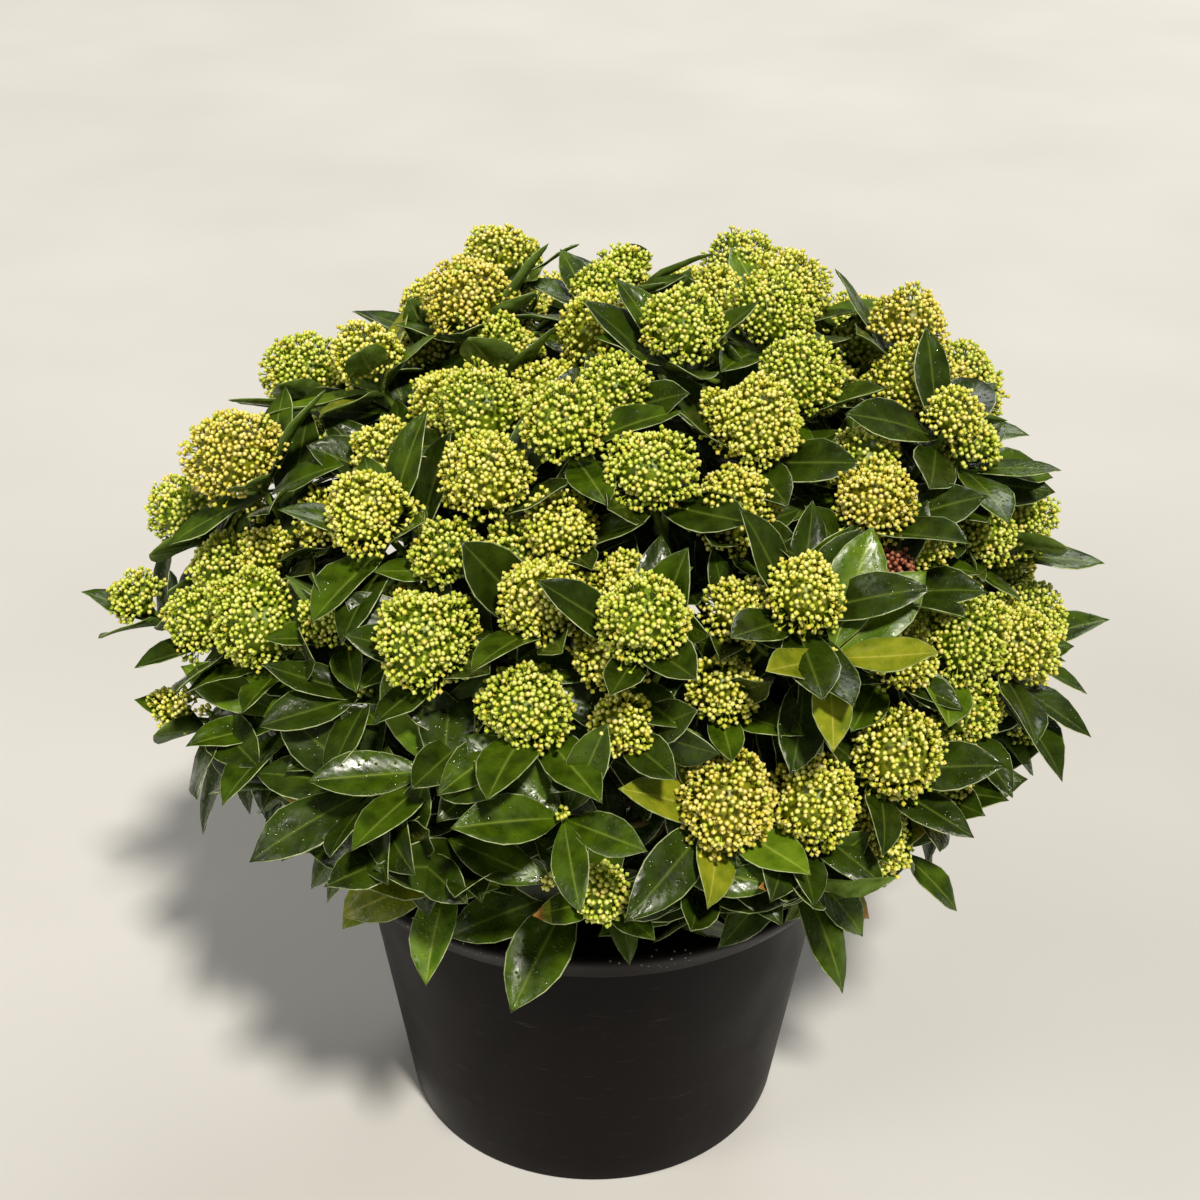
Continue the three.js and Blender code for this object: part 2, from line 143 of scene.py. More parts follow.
def linear(colour):  # an sRGB hex value as the linear colour that a socket takes
    parts = [int(colour[i:i + 2], 16) / 255 for i in (1, 3, 5)]
    return (*[p / 12.92 if p <= 0.04045 else ((p + 0.055) / 1.055) ** 2.4 for p in parts], 1.0)


def addNode(tree, kind, settings=None, links=None):
    # a shader node with its settings, among them the stops of a colour ramp, and with its inputs linked
    node = tree.nodes.new("ShaderNode" + kind)
    for key, value in (settings or {}).items():
        if key == "stops":
            while len(node.color_ramp.elements) < len(value):
                node.color_ramp.elements.new(0.5)
            for element, (position, colour) in zip(node.color_ramp.elements, value):
                element.position = position
                element.color = linear(colour) if isinstance(colour, str) else (colour, colour, colour, 1)
        elif isinstance(key, int) or key in node.inputs:
            node.inputs[key].default_value = value
        else:
            setattr(node, key, value)
    for key, source in (links or {}).items():
        output = source.outputs[0] if isinstance(source, bpy.types.Node) else source
        tree.links.new(output, node.inputs[key])
    return node


def startMaterial(name, settings):  # a material, its shader with these settings, and a point's place on it
    material = bpy.data.materials.new(name)
    material.use_nodes = True
    tree = material.node_tree
    shader = tree.nodes["Principled BSDF"]
    for key, value in settings.items():
        shader.inputs[key].default_value = value
    return material, tree, shader, addNode(tree, "TexCoord").outputs["Object"]


def perMetre(size):  # how many times a pattern of that size in millimetres repeats in a metre
    return 1000 / size


def dress(tree, shader, colour, roughness, height, strength, depth):  # what the nodes give, to the shader
    tree.links.new(colour, shader.inputs["Base Color"])
    if roughness:
        tree.links.new(roughness.outputs[0], shader.inputs["Roughness"])
    bump = addNode(tree, "Bump", {"Strength": strength, "Distance": depth}, {"Height": height})
    tree.links.new(bump.outputs["Normal"], shader.inputs["Normal"])


veinTurns = 62.0  # how far the wave of side veins turns along a blade, in radians


def leafBlade(name, shade, light, rib, shine=0.37):
    # evergreen leaf under a waxy skin, wet: a soft gloss that comes and goes with its film of water, small
    # round drops where it is wettest, faint side veins and a paler rib; the fine relief of its skin and the
    # drops are drawn coarser than life, so that they show
    material, tree, shader, place = startMaterial(name, {"IOR": 1.45, "Specular IOR Level": shine})
    patches = addNode(tree, "TexNoise", {"Scale": perMetre(10), "Detail": 3}, {"Vector": place})
    colour = addNode(tree, "ValToRGB", {"stops": [(0.34, shade), (0.68, light)]}, {"Fac": patches})
    blade = addNode(tree, "UVMap", {"uv_map": "blade"})
    apart = addNode(tree, "SeparateXYZ", links={0: blade})
    aside = addNode(tree, "Math", {"operation": "SUBTRACT", 1: 0.5}, {0: apart.outputs["Y"]})
    away = addNode(tree, "Math", {"operation": "ABSOLUTE"}, {0: aside})
    along = addNode(tree, "Math", {"operation": "MULTIPLY_ADD", 1: -0.5}, {0: away, 2: apart.outputs["X"]})
    veins = addNode(tree, "Math", {"operation": "MULTIPLY", 1: veinTurns}, {0: along})
    rows = addNode(tree, "Math", {"operation": "SINE"}, {0: veins})
    ribStops = [(0.006, 0.75), (0.024, 0.22), (0.06, 0.0)]
    middle = addNode(tree, "ValToRGB", {"stops": ribStops}, {"Fac": away})
    ribbed = addNode(tree, "Mix", {"data_type": "RGBA", 7: linear(rib)}, {0: middle, 6: colour})
    filmGrain = {"Scale": perMetre(8), "Detail": 4, "Roughness": 0.62}
    film = addNode(tree, "TexNoise", filmGrain, {"Vector": place})
    sheen = addNode(tree, "ValToRGB", {"stops": [(0.38, 0.41), (0.6, 0.22)]}, {"Fac": film})
    beads = addNode(tree, "TexVoronoi", {"Scale": perMetre(2.6)}, {"Vector": place})
    domes = addNode(tree, "ValToRGB", {"stops": [(0.12, 1.0), (0.3, 0.0)]}, {"Fac": beads})
    wet = addNode(tree, "ValToRGB", {"stops": [(0.38, 0.0), (0.5, 1.0)]}, {"Fac": film})
    drops = addNode(tree, "Math", {"operation": "MULTIPLY"}, {0: domes, 1: wet})
    fine = addNode(tree, "TexNoise", {"Scale": perMetre(2.6), "Detail": 2}, {"Vector": place})
    ridges = addNode(tree, "Math", {"operation": "MULTIPLY_ADD", 1: 0.12}, {0: rows, 2: fine})
    relief = addNode(tree, "Math", {"operation": "ADD"}, {0: ridges, 1: drops})
    gloss = addNode(tree, "Math", {"operation": "MULTIPLY_ADD", 1: -0.22}, {0: drops, 2: sheen})
    dress(tree, shader, ribbed.outputs[2], gloss, relief, 0.5, 0.38 * mm)
    return material


def flowerBud(name, stops):
    # firm waxy bud, satin: pale at its tip, partly its own cream and partly a painted highlight, yellow green
    # at its waist, green where it stands on its stalk
    material, tree, shader, place = startMaterial(name, {"IOR": 1.42, "Roughness": 0.42})
    axis = addNode(tree, "UVMap", {"uv_map": "blade"})
    apart = addNode(tree, "SeparateXYZ", links={0: axis})
    spread = {"operation": "MULTIPLY_ADD", 1: 0.26, 2: -0.13}
    ripeness = addNode(tree, "Math", spread, {0: apart.outputs["X"]})
    along = addNode(tree, "Math", {"operation": "ADD"}, {0: ripeness, 1: apart.outputs["Y"]})
    mottle = addNode(tree, "TexNoise", {"Scale": perMetre(1.6), "Detail": 1}, {"Vector": place})
    spotted = addNode(tree, "Math", {"operation": "MULTIPLY_ADD", 1: 0.24}, {0: mottle, 2: along})
    even = addNode(tree, "Math", {"operation": "SUBTRACT", 1: 0.12}, {0: spotted})
    colour = addNode(tree, "ValToRGB", {"stops": stops}, {"Fac": even})
    dress(tree, shader, colour.outputs[0], None, mottle, 0.15, 0.2 * mm)
    return material


def softSkin(name, shade, light, grain, roughness, relief=0.2):
    # young green tissue, of stems, and of leaf margins, where its pale colours are a painted highlight of the
    # edge: matt to satin, with uneven colour
    material, tree, shader, place = startMaterial(name, {"IOR": 1.42, "Roughness": roughness})
    patches = addNode(tree, "TexNoise", {"Scale": perMetre(grain), "Detail": 2}, {"Vector": place})
    colour = addNode(tree, "ValToRGB", {"stops": [(0.35, shade), (0.65, light)]}, {"Fac": patches})
    fine = addNode(tree, "TexNoise", {"Scale": perMetre(0.6), "Detail": 1}, {"Vector": place})
    dress(tree, shader, colour.outputs[0], None, fine, relief, 0.2 * mm)
    return material


def barkSkin(name, shade, light, scar):
    # thin shrub bark: dull, fissured, with pale corky pores
    material, tree, shader, place = startMaterial(name, {"IOR": 1.4, "Roughness": 0.82})
    crackGrain = {"Scale": perMetre(6), "Detail": 6, "Roughness": 0.7}
    cracks = addNode(tree, "TexNoise", crackGrain, {"Vector": place})
    colour = addNode(tree, "ValToRGB", {"stops": [(0.3, shade), (0.62, light)]}, {"Fac": cracks})
    pores = addNode(tree, "TexVoronoi", {"Scale": perMetre(3.2)}, {"Vector": place})
    spots = addNode(tree, "ValToRGB", {"stops": [(0.1, 1.0), (0.2, 0.0)]}, {"Fac": pores})
    blend = addNode(tree, "Mix", {"data_type": "RGBA", 7: linear(scar)}, {0: spots, 6: colour})
    dress(tree, shader, blend.outputs[2], None, cracks, 0.7, 0.8 * mm)
    return material


def potPlastic(name):
    # recycled polypropylene, injection moulded: near black, satin, with pale dust on the lip and faint
    # scuffs; its grain is drawn coarser than life, so that it shows
    material, tree, shader, place = startMaterial(name, {"IOR": 1.49, "Specular IOR Level": 0.09})
    cloud = addNode(tree, "TexNoise", {"Scale": perMetre(60), "Detail": 4}, {"Vector": place})
    base = addNode(tree, "ValToRGB", {"stops": [(0.3, "#090505"), (0.7, "#110b0b")]}, {"Fac": cloud})
    drawnOut = {"Rotation": (0.2, 0.35, 0.0), "Scale": (0.16, 0.16, 1.0)}
    turned = addNode(tree, "Mapping", drawnOut, {0: place})
    scuffGrain = {"Scale": perMetre(4), "Detail": 5, "Roughness": 0.75}
    scuffs = addNode(tree, "TexNoise", scuffGrain, {0: turned})
    lines = addNode(tree, "ValToRGB", {"stops": [(0.6, 0.0), (0.74, 0.35)]}, {"Fac": scuffs})
    worn = addNode(tree, "Mix", {"data_type": "RGBA", 7: linear("#4a4649")}, {0: lines, 6: base})
    specks = addNode(tree, "TexVoronoi", {"Scale": perMetre(3.4)}, {"Vector": place})
    dots = addNode(tree, "ValToRGB", {"stops": [(0.1, 1.0), (0.2, 0.0)]}, {"Fac": specks})
    drift = addNode(tree, "TexNoise", {"Scale": perMetre(38), "Detail": 3}, {"Vector": place})
    gathered = addNode(tree, "ValToRGB", {"stops": [(0.5, 0.0), (0.62, 1.0)]}, {"Fac": drift})
    apart = addNode(tree, "SeparateXYZ", links={0: place})
    onLip = {"From Min": pot["dust"][0], "From Max": pot["dust"][1]}
    high = addNode(tree, "MapRange", onLip, {"Value": apart.outputs["Z"]})
    dust = addNode(tree, "Math", {"operation": "MULTIPLY"}, {0: dots, 1: gathered})
    dustOnLip = addNode(tree, "Math", {"operation": "MULTIPLY"}, {0: dust, 1: high})
    paleDust = {"data_type": "RGBA", 7: linear("#a9a6a0")}
    dusty = addNode(tree, "Mix", paleDust, {0: dustOnLip, 6: worn.outputs[2]})
    sheen = addNode(tree, "ValToRGB", {"stops": [(0.3, 0.34), (0.7, 0.52)]}, {"Fac": cloud})
    grain = addNode(tree, "TexNoise", {"Scale": perMetre(1.2), "Detail": 3}, {"Vector": place})
    dress(tree, shader, dusty.outputs[2], sheen, grain, 0.18, 0.3 * mm)
    return material


def compostSkin(name, shade, light):
    # peat and composted bark, damp: rough, dark brown crumbs
    material, tree, shader, place = startMaterial(name, {"IOR": 1.35, "Roughness": 0.95})
    crumbGrain = {"Scale": perMetre(4), "Detail": 8, "Roughness": 0.75}
    crumbs = addNode(tree, "TexNoise", crumbGrain, {"Vector": place})
    colour = addNode(tree, "ValToRGB", {"stops": [(0.35, shade), (0.66, light)]}, {"Fac": crumbs})
    dress(tree, shader, colour.outputs[0], None, crumbs, 0.9, 1.5 * mm)
    return material


def finishPiece(name, mesh, materials, slotName, *nodes):  # a piece of the object, in place of these nodes
    piece = bpy.data.objects.new(name, mesh)
    bpy.context.scene.collection.objects.link(piece)
    for material in materials:
        mesh.materials.append(material)
    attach(piece, "root")
    if nodes:
        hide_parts(*nodes)
    print(name, len(mesh.polygons), "faces")


def meshFrom(bm, name, smooth=True):
    bmesh.ops.recalc_face_normals(bm, faces=bm.faces)
    for face in bm.faces:
        face.smooth = smooth
    mesh = bpy.data.meshes.new(name)
    bm.to_mesh(mesh)
    bm.free()
    return mesh


def growTube(bm, line, radii, sides, relief=None):
    # a sheet rolled round the line, open at both ends; relief gives what a point's radius is more by
    steps = len(line) - 1
    sheet = bmesh.ops.create_grid(bm, x_segments=sides, y_segments=steps, size=1)["verts"]
    tangents = [(line[min(i + 1, steps)] - line[max(i - 1, 0)]).normalized() for i in range(steps + 1)]
    first = squareTo(tangents[0])[0]
    frames = []
    for tangent in tangents:  # each frame is the last one, tipped just enough
        first = (first - tangent * first.dot(tangent)).normalized()
        frames.append((first.copy(), tangent.cross(first)))
    for vert in sheet:
        step = round((vert.co.y + 1) / 2 * steps)
        turn = round((vert.co.x + 1) / 2 * sides) % sides * 2 * math.pi / sides
        out = frames[step][0] * math.cos(turn) + frames[step][1] * math.sin(turn)
        radius = radii[step]
        if relief:
            radius += relief(line[step] + out * radius)
        vert.co = line[step] + out * radius
    bmesh.ops.remove_doubles(bm, verts=sheet, dist=1e-7)


def closeEnds(bm):
    bmesh.ops.holes_fill(bm, edges=[edge for edge in bm.edges if edge.is_boundary], sides=0)


def shapeOf(bm, slotOf):  # a small shape as arrays, to be copied many times; slotOf gives a face's slot
    bm.verts.ensure_lookup_table()
    corners = [vert.index for face in bm.faces for vert in face.verts]
    totals = [len(face.verts) for face in bm.faces]
    shape = {
        "verts": np.array([vert.co[:] for vert in bm.verts]),
        "corners": np.array(corners),
        "starts": np.concatenate([[0], np.cumsum(totals)[:-1]]),
        "totals": np.array(totals),
        "slots": np.array([slotOf(face) for face in bm.faces]),
        "faces": len(totals),
    }
    bm.free()
    return shape


def joinCopies(name, shape, places, slots, uv):
    # one mesh of many copies: places holds each copy's corners, slots its faces' material slots, and uv
    # two values at each corner that its material reads
    count, size = places.shape[:2]
    loops = len(shape["corners"])
    mesh = bpy.data.meshes.new(name)
    mesh.vertices.add(count * size)
    mesh.vertices.foreach_set("co", places.reshape(-1).astype(np.float32))
    mesh.loops.add(count * loops)
    mesh.loops.foreach_set("vertex_index", (shape["corners"] + np.arange(count)[:, None] * size).ravel())
    mesh.polygons.add(count * shape["faces"])
    mesh.polygons.foreach_set("loop_start", (shape["starts"] + np.arange(count)[:, None] * loops).ravel())
    mesh.polygons.foreach_set("material_index", slots.ravel())
    mesh.polygons.foreach_set("use_smooth", np.ones(count * shape["faces"], bool))
    layer = mesh.uv_layers.new(name="blade")
    spread = np.broadcast_to(uv, (count, size, 2))[:, shape["corners"]]
    layer.data.foreach_set("uv", spread.reshape(-1).astype(np.float32))
    mesh.update(calc_edges=True)
    mesh.validate()
    return mesh


crown = {
    "forkHeight": 210 * mm,  # where the dome has its middle
    "spread": 256 * mm,  # half its width, and its height over the fork
    "height": 238 * mm,
    "shoulder": 2.1,  # 2 would be an ellipse
    "lean": 0.17,  # to the right, per unit of height
    "lowestRise": 0.0,  # of its shoots, in radians
    "skirtReach": 114 * mm,  # how far the dome reaches at its lowest rise, and how soon it gets full
    "skirtEase": math.radians(22),
    "shoots": 110,
    "jitter": 0.085,  # how far a shoot strays from its even place, in radians, and how much further out
    "unevenness": 0.05,  # or in it ends, as a share
    "lift": 0.75,  # how much the shoots turn upwards, and the stems of the masses
    "stemLift": 0.25,
    "flowering": 0.42,  # share of the lowest shoots that flower
    "allFlower": math.radians(30),  # rise above which every shoot does
}
rings = {  # degrees, and how far out each mass has its hub; vigour is a share of the others' size
    "foliage_low": {"azimuth": 180, "rise": 21, "hubReach": 146 * mm,
                    "vigour": [1.12, 0.97, 1.0, 1.0, 1.0, 0.97, 1.0]},
    "foliage_high": {"azimuth": 152, "rise": 50, "hubReach": 158 * mm, "vigour": [1.06, 1.0, 1.0, 1.02, 1.0]},
}
topReach = 164 * mm
fork = Vector((0, 0, crown["forkHeight"]))


def reachAt(rise):  # how far the crown reaches from the fork at a rise above level
    level = abs(math.cos(rise) / crown["spread"]) ** crown["shoulder"]
    upright = abs(math.sin(rise) / crown["height"]) ** crown["shoulder"]
    eased = 1 - math.exp(-max(0, rise - crown["lowestRise"]) / crown["skirtEase"])
    return mix(crown["skirtReach"], (level + upright) ** (-1 / crown["shoulder"]), eased)


def inCrown(direction, distance):
    point = fork + direction * distance
    point.x += crown["lean"] * (point.z - fork.z)
    return point


def planMass(name, index, azimuth, rise, hubReach, vigour):
    axis = heading(azimuth, rise)
    stemHeading = (axis + up * crown["stemLift"]).normalized()
    return {"name": name, "index": index, "azimuth": azimuth, "axis": axis, "vigour": vigour,
            "stemHeading": stemHeading, "hub": inCrown(axis, hubReach * vigour)}


def planMasses():
    masses = []
    for name, ring in rings.items():
        count = len(ring["vigour"])
        for index, vigour in enumerate(ring["vigour"]):
            azimuth = math.radians(ring["azimuth"]) + index / count * 2 * math.pi
            rise = math.radians(ring["rise"])
            masses.append(planMass(f"{name}_{index + 1}", index, azimuth, rise, ring["hubReach"], vigour))
    masses.append(planMass("foliage_top", 0, 0, math.pi / 2, topReach, 1.0))
    return masses


def planShoot(masses, item, outwards, rise, reach, flowers, kind):
    mass = max(masses, key=lambda one: one["axis"].dot(outwards))
    return {"id": item, "mass": mass, "rise": rise, "tip": inCrown(outwards, reach * mass["vigour"]),
            "kind": kind, "outwards": outwards, "flowers": flowers,
            "heading": (outwards + up * crown["lift"] * math.cos(rise)).normalized()}


def planShoots(masses):  # an even spiral from the top down, loosened by chance
    shoots = []
    low = crown["lowestRise"]
    for i in range(crown["shoots"]):
        evenRise = math.asin(mix(1, math.sin(low), (i + 0.5) / crown["shoots"]))
        rise = min(math.pi / 2, max(low, evenRise + between(-1, 1, i, "rise") * crown["jitter"]))
        swing = between(-1, 1, i, "swing") * crown["jitter"] / max(0.3, math.cos(evenRise))
        outwards = heading(i * goldenAngle + swing, rise)
        reach = reachAt(rise) * between(1 - crown["unevenness"], 1 + crown["unevenness"], i, "reach")
        share = mix(crown["flowering"], 1, smoothStep(rise, low, crown["allFlower"]))
        shoots.append(planShoot(masses, i, outwards, rise, reach, chance(i, "flowers") < share, "main"))
    return shoots


forking = {
    "skirt": (math.radians(2), math.radians(28)),  # rises between which the skirt passes into the shoulder
    "share": (0.45, 1.0),  # of the main shoots that fork, at the skirt and above
    "reach": (0.9, 0.98),  # share of the main shoot's reach at which the fork ends
    "swing": (0.15, 0.2),  # how far the fork leans away, in radians
    "trials": 8,  # directions that it may lean to
    "least": 21.5 * mm,  # room that a fork needs round its tip
    "flowering": (0.1, 0.96),  # share of the forks that flower, at the skirt and above
    "firstId": 200,
}
stragglers = [  # heads that stand clear of the others: at the left, in front over the lip, low at the left
    {"id": 399, "azimuth": 180, "rise": 19, "reach": 256 * mm, "radius": 14.5 * mm},
    {"id": 398, "azimuth": -91, "rise": 14, "reach": 190 * mm, "radius": 13 * mm},
    {"id": 397, "azimuth": -165, "rise": 14, "reach": 225 * mm, "radius": 11.5 * mm},
]


def planFork(masses, tips, shoot, height):  # the most room that a side shoot of this one finds, and the shoot
    item = forking["firstId"] + shoot["id"]
    reach = reachAt(shoot["rise"]) * between(*forking["reach"], item, "reach")
    flowers = chance(item, "flowers") < mix(*forking["flowering"], height)
    best = (0, None)
    for trial in range(forking["trials"]):
        side = squareTo(shoot["outwards"], trial * 2 * math.pi / forking["trials"])[0]
        outwards = (shoot["outwards"] + side * between(*forking["swing"], item, "swing")).normalized()
        rise = math.asin(outwards.z)
        if rise < crown["lowestRise"]:
            continue
        one = planShoot(masses, item, outwards, rise, reach, flowers, "side")
        one["parent"] = shoot
        one["mass"] = shoot["mass"]
        room = min((one["tip"] - tip).length for tip in tips)
        if room > best[0]:
            best = (room, one)
    return best


def planStraggler(masses, shoots, lone):
    rise = math.radians(lone["rise"])
    outwards = heading(math.radians(lone["azimuth"]), rise)
    one = planShoot(masses, lone["id"], outwards, rise, lone["reach"], True, "side")
    one["tip"] = inCrown(outwards, lone["reach"])
    one["parent"] = max(shoots, key=lambda other: other["outwards"].dot(outwards))
    one["mass"] = one["parent"]["mass"]
    one["alone"] = lone["radius"]
    return one


def planSides(masses, shoots):  # weaker side shoots beside the main ones, and then the stragglers
    sides = []
    tips = [shoot["tip"] for shoot in shoots]
    for shoot in shoots:
        height = smoothStep(shoot["rise"], *forking["skirt"])
        if chance(forking["firstId"] + shoot["id"], "fork") > mix(*forking["share"], height):
            continue
        room, one = planFork(masses, tips, shoot, height)
        if room > forking["least"]:
            sides.append(one)
            tips.append(one["tip"])
    return sides + [planStraggler(masses, shoots, lone) for lone in stragglers]


headSizes = {  # radii that the heads would like to have, and what they give way to their neighbours
    "main": {"radius": (17.2 * mm, 24 * mm), "room": 0.62},
    "side": {"radius": (14 * mm, 19.8 * mm), "room": 0.56},
    "least": 12.5 * mm,
}


def setRadii(shoots):  # a head is as large as it likes, but gives way to its neighbours
    tips = np.array([shoot["tip"] for shoot in shoots])
    for i, shoot in enumerate(shoots):
        sizes = headSizes[shoot["kind"]]
        gaps = np.linalg.norm(tips - tips[i], axis=1)
        gaps[i] = 1  # its own gap is none
        room = max(gaps.min() * sizes["room"], headSizes["least"])
        shoot["number"] = i
        shoot["radius"] = shoot.get("alone") or min(between(*sizes["radius"], shoot["id"], "radius"), room)


masses = planMasses()
shoots = planShoots(masses)
allShoots = shoots + planSides(masses, shoots)
setRadii(allShoots)
print("planned", len(masses), "masses and", len(allShoots), "shoots")


trunk = {
    "foot": 168 * mm,  # level of the compost, and the millimetres of air under the trunk
    "clear": 0.3,
    "height": 46 * mm,
    "heights": [0, 0.1, 0.22, 0.5, 0.84, 0.95, 1],  # share of its height at each radius
    "radii": [19 * mm, 16.5 * mm, 14.7 * mm, 12.5 * mm, 13.5 * mm, 12.1 * mm, 8.5 * mm],
    "sides": 36,
    "steps": 30,
    "furrow": 1.3 * mm,
    "grain": 8 * mm,
}
limbs = {  # the neck is the last millimetres of each, which point the way of its mass's stem
    "bough": {"root": 6.6 * mm, "tip": 4.6 * mm, "neck": 20, "sides": 16, "steps": 44, "furrow": 0.8 * mm},
    "branch": {"root": 5.6 * mm, "tip": 4.2 * mm, "neck": 24, "sides": 14, "steps": 34, "furrow": 0.6 * mm},
    "leader": {"root": 7.5 * mm, "tip": 4.8 * mm, "neck": 24, "sides": 18, "steps": 34, "furrow": 0.8 * mm},
    "gap": 54 * mm,  # from the end of a limb to the hub of its mass
    "grain": 7 * mm,
    "leaves": (0.3, 0.55),  # boughs leave the trunk from this share of its height up, over that share
    "knee": (36, 9),  # millimetres outwards and up from its root, where a bough turns upwards
    "sway": 6,  # how many millimetres it bends aside at most
    "branching": 0.42,  # share of a bough at which a branch leaves it
    "leading": 0.8,  # share of the trunk's height at which the leader starts
    "swell": 0.07,  # how much a limb swells at the joints of past years, how closely they follow each
    "swells": 23,  # other, and how much they shift from limb to limb
    "shift": 900,
}
barkRelief = {
    "across": 1.6,  # how many times finer than its grain the bark is across the trunk, and along it
    "along": 0.7,
    "fine": 2.3,  # how many times finer its small furrows are, and how deep against the others
    "fineDepth": 0.6,
    "scars": 9 * mm,  # size of its scars, how few they are, and how high they stand
    "scarsFrom": 0.35,
    "scarHeight": 1.2,
}


def inTrunk(share):
    rise = share * trunk["height"]
    return Vector((crown["lean"] * rise, 0, trunk["foot"] + rise))


def massFoot(mass):  # where the mass's stem stands on the limb that bears it
    return mass["hub"] - mass["stemHeading"] * limbs["gap"]


def boughPath(mass):
    lowest, over = limbs["leaves"]
    tip = massFoot(mass)
    root = inTrunk(lowest + over * ((mass["index"] * goldenRatio) % 1))
    knee = root + heading(mass["azimuth"], 0) * limbs["knee"][0] * mm + up * limbs["knee"][1] * mm
    neck = tip - mass["stemHeading"] * limbs["bough"]["neck"] * mm
    sway = between(-limbs["sway"], limbs["sway"], mass["index"], "sway")
    aside = heading(mass["azimuth"] + math.pi / 2, 0) * sway * mm
    return [root, knee, knee.lerp(neck, 0.5) + aside, neck, tip]


def branchPath(mass, bough):
    tip = massFoot(mass)
    root = smoothLine(bough, 100)[round(limbs["branching"] * 100)]
    return [root, tip - mass["stemHeading"] * limbs["branch"]["neck"] * mm, tip]


def fissures(depth, grain):  # bark relief: long furrows and small scars
    def relief(point):
        across, along = barkRelief["across"], barkRelief["along"]
        drawn = Vector((point.x * across, point.y * across, point.z * along)) / grain
        scar = noise.noise(point / barkRelief["scars"]) - barkRelief["scarsFrom"]
        fine = abs(noise.noise(drawn * barkRelief["fine"]))
        return depth * (noise.noise(drawn) - barkRelief["fineDepth"] * fine
                        + max(0, scar) * barkRelief["scarHeight"])
    return relief


def addLimb(bm, points, limb):
    line = smoothLine(points, limb["steps"])
    shares = [i / limb["steps"] for i in range(limb["steps"] + 1)]
    shift = points[0].x * limbs["shift"]
    swell = [1 + limbs["swell"] * math.sin(limbs["swells"] * share + shift) for share in shares]
    radii = [mix(limb["root"], limb["tip"], share) * grown for share, grown in zip(shares, swell)]
    growTube(bm, line, radii, limb["sides"], fissures(limb["furrow"], limbs["grain"]))


oldBark = barkSkin("grey brown skimmia bark, fissured", "#3d3125", "#7c6a4c", "#a08c66")
greenBark = barkSkin("two year bark, green brown", "#4c5227", "#7f8440", "#9c8f58")


def makeTrunk():
    bm = bmesh.new()
    shares = [i / trunk["steps"] for i in range(trunk["steps"] + 1)]
    line = [inTrunk(share) + up * trunk["clear"] * mm * (1 - share) for share in shares]
    radii = [float(np.interp(share, trunk["heights"], trunk["radii"])) for share in shares]
    growTube(bm, line, radii, trunk["sides"], fissures(trunk["furrow"], trunk["grain"]))
    tip = massFoot(masses[-1])
    addLimb(bm, [inTrunk(limbs["leading"]), tip - up * limbs["leader"]["neck"] * mm, tip], limbs["leader"])
    closeEnds(bm)
    finishPiece("trunk_and_leader_bark", meshFrom(bm, "trunk"), [oldBark], "bark", "trunk", "leader")


def makeBoughs():
    lows = [mass for mass in masses if mass["name"].startswith("foliage_low")]
    highs = [mass for mass in masses if mass["name"].startswith("foliage_high")]
    bm = bmesh.new()
    for mass in lows:
        mass["bough"] = boughPath(mass)
        addLimb(bm, mass["bough"], limbs["bough"])
    closeEnds(bm)
    names = [f"bough_{i + 1}" for i in range(len(lows))]
    finishPiece("bough_bark", meshFrom(bm, "boughs"), [oldBark], "bark", *names)
    bm = bmesh.new()
    for mass in highs:
        parent = max(lows, key=lambda one: one["axis"].dot(mass["axis"]))
        addLimb(bm, branchPath(mass, parent["bough"]), limbs["branch"])
    closeEnds(bm)
    names = [f"branch_{i + 1}" for i in range(len(highs))]
    finishPiece("branch_bark", meshFrom(bm, "branches"), [greenBark], "green_bark", *names)


makeTrunk()
makeBoughs()


twigs = {
    "rootRadius": 2.4 * mm,
    "tipRadius": 1.6 * mm,
    "sides": 6,
    "steps": 9,
    "thin": {"main": 1, "side": 0.78},  # times the radius
    "foot": (-14, 8),  # where a twig leaves its mass's stem, in millimetres from the hub
    "forksAt": 5,  # step of a main twig at which its side twig leaves
    "arrival": 0.12,  # share of its length that a twig's end points the way of its shoot
    "turn": {"main": 0.4, "side": 0.3},  # and the share from whose start it begins to turn that way
    "bend": {"main": 0.62, "side": 0.6},
    "stemRoot": 4.2 * mm,
    "stemTip": 3 * mm,
    "stemSides": 8,
    "stemSteps": 8,
    "stemPast": 10,  # millimetres that a mass's stem runs on past the hub
    "woody": 34 * mm,  # how far from the hub the twigs have turned brown
}
twigSkins = [
    softSkin("young skimmia stem, green", "#56701f", "#86a03a", 14, 0.5),
    softSkin("woody twig, brown green", "#4d4423", "#6f6a35", 9, 0.7, 0.5),
]


def twigPath(shoot):  # off the mass's stem or the parent twig, outwards, and in under the shoot's tip
    mass, tip, kind = shoot["mass"], shoot["tip"], shoot["kind"]
    if "parent" in shoot:
        start = shoot["parent"]["line"][twigs["forksAt"]]
    else:
        start = mass["hub"] + mass["stemHeading"] * between(*twigs["foot"], shoot["id"], "foot") * mm
    distance = (tip - start).length
    turn = tip - shoot["heading"] * twigs["turn"][kind] * distance
    arrival = tip - shoot["heading"] * twigs["arrival"] * distance
    return [start, start.lerp(turn, twigs["bend"][kind]), arrival, tip]


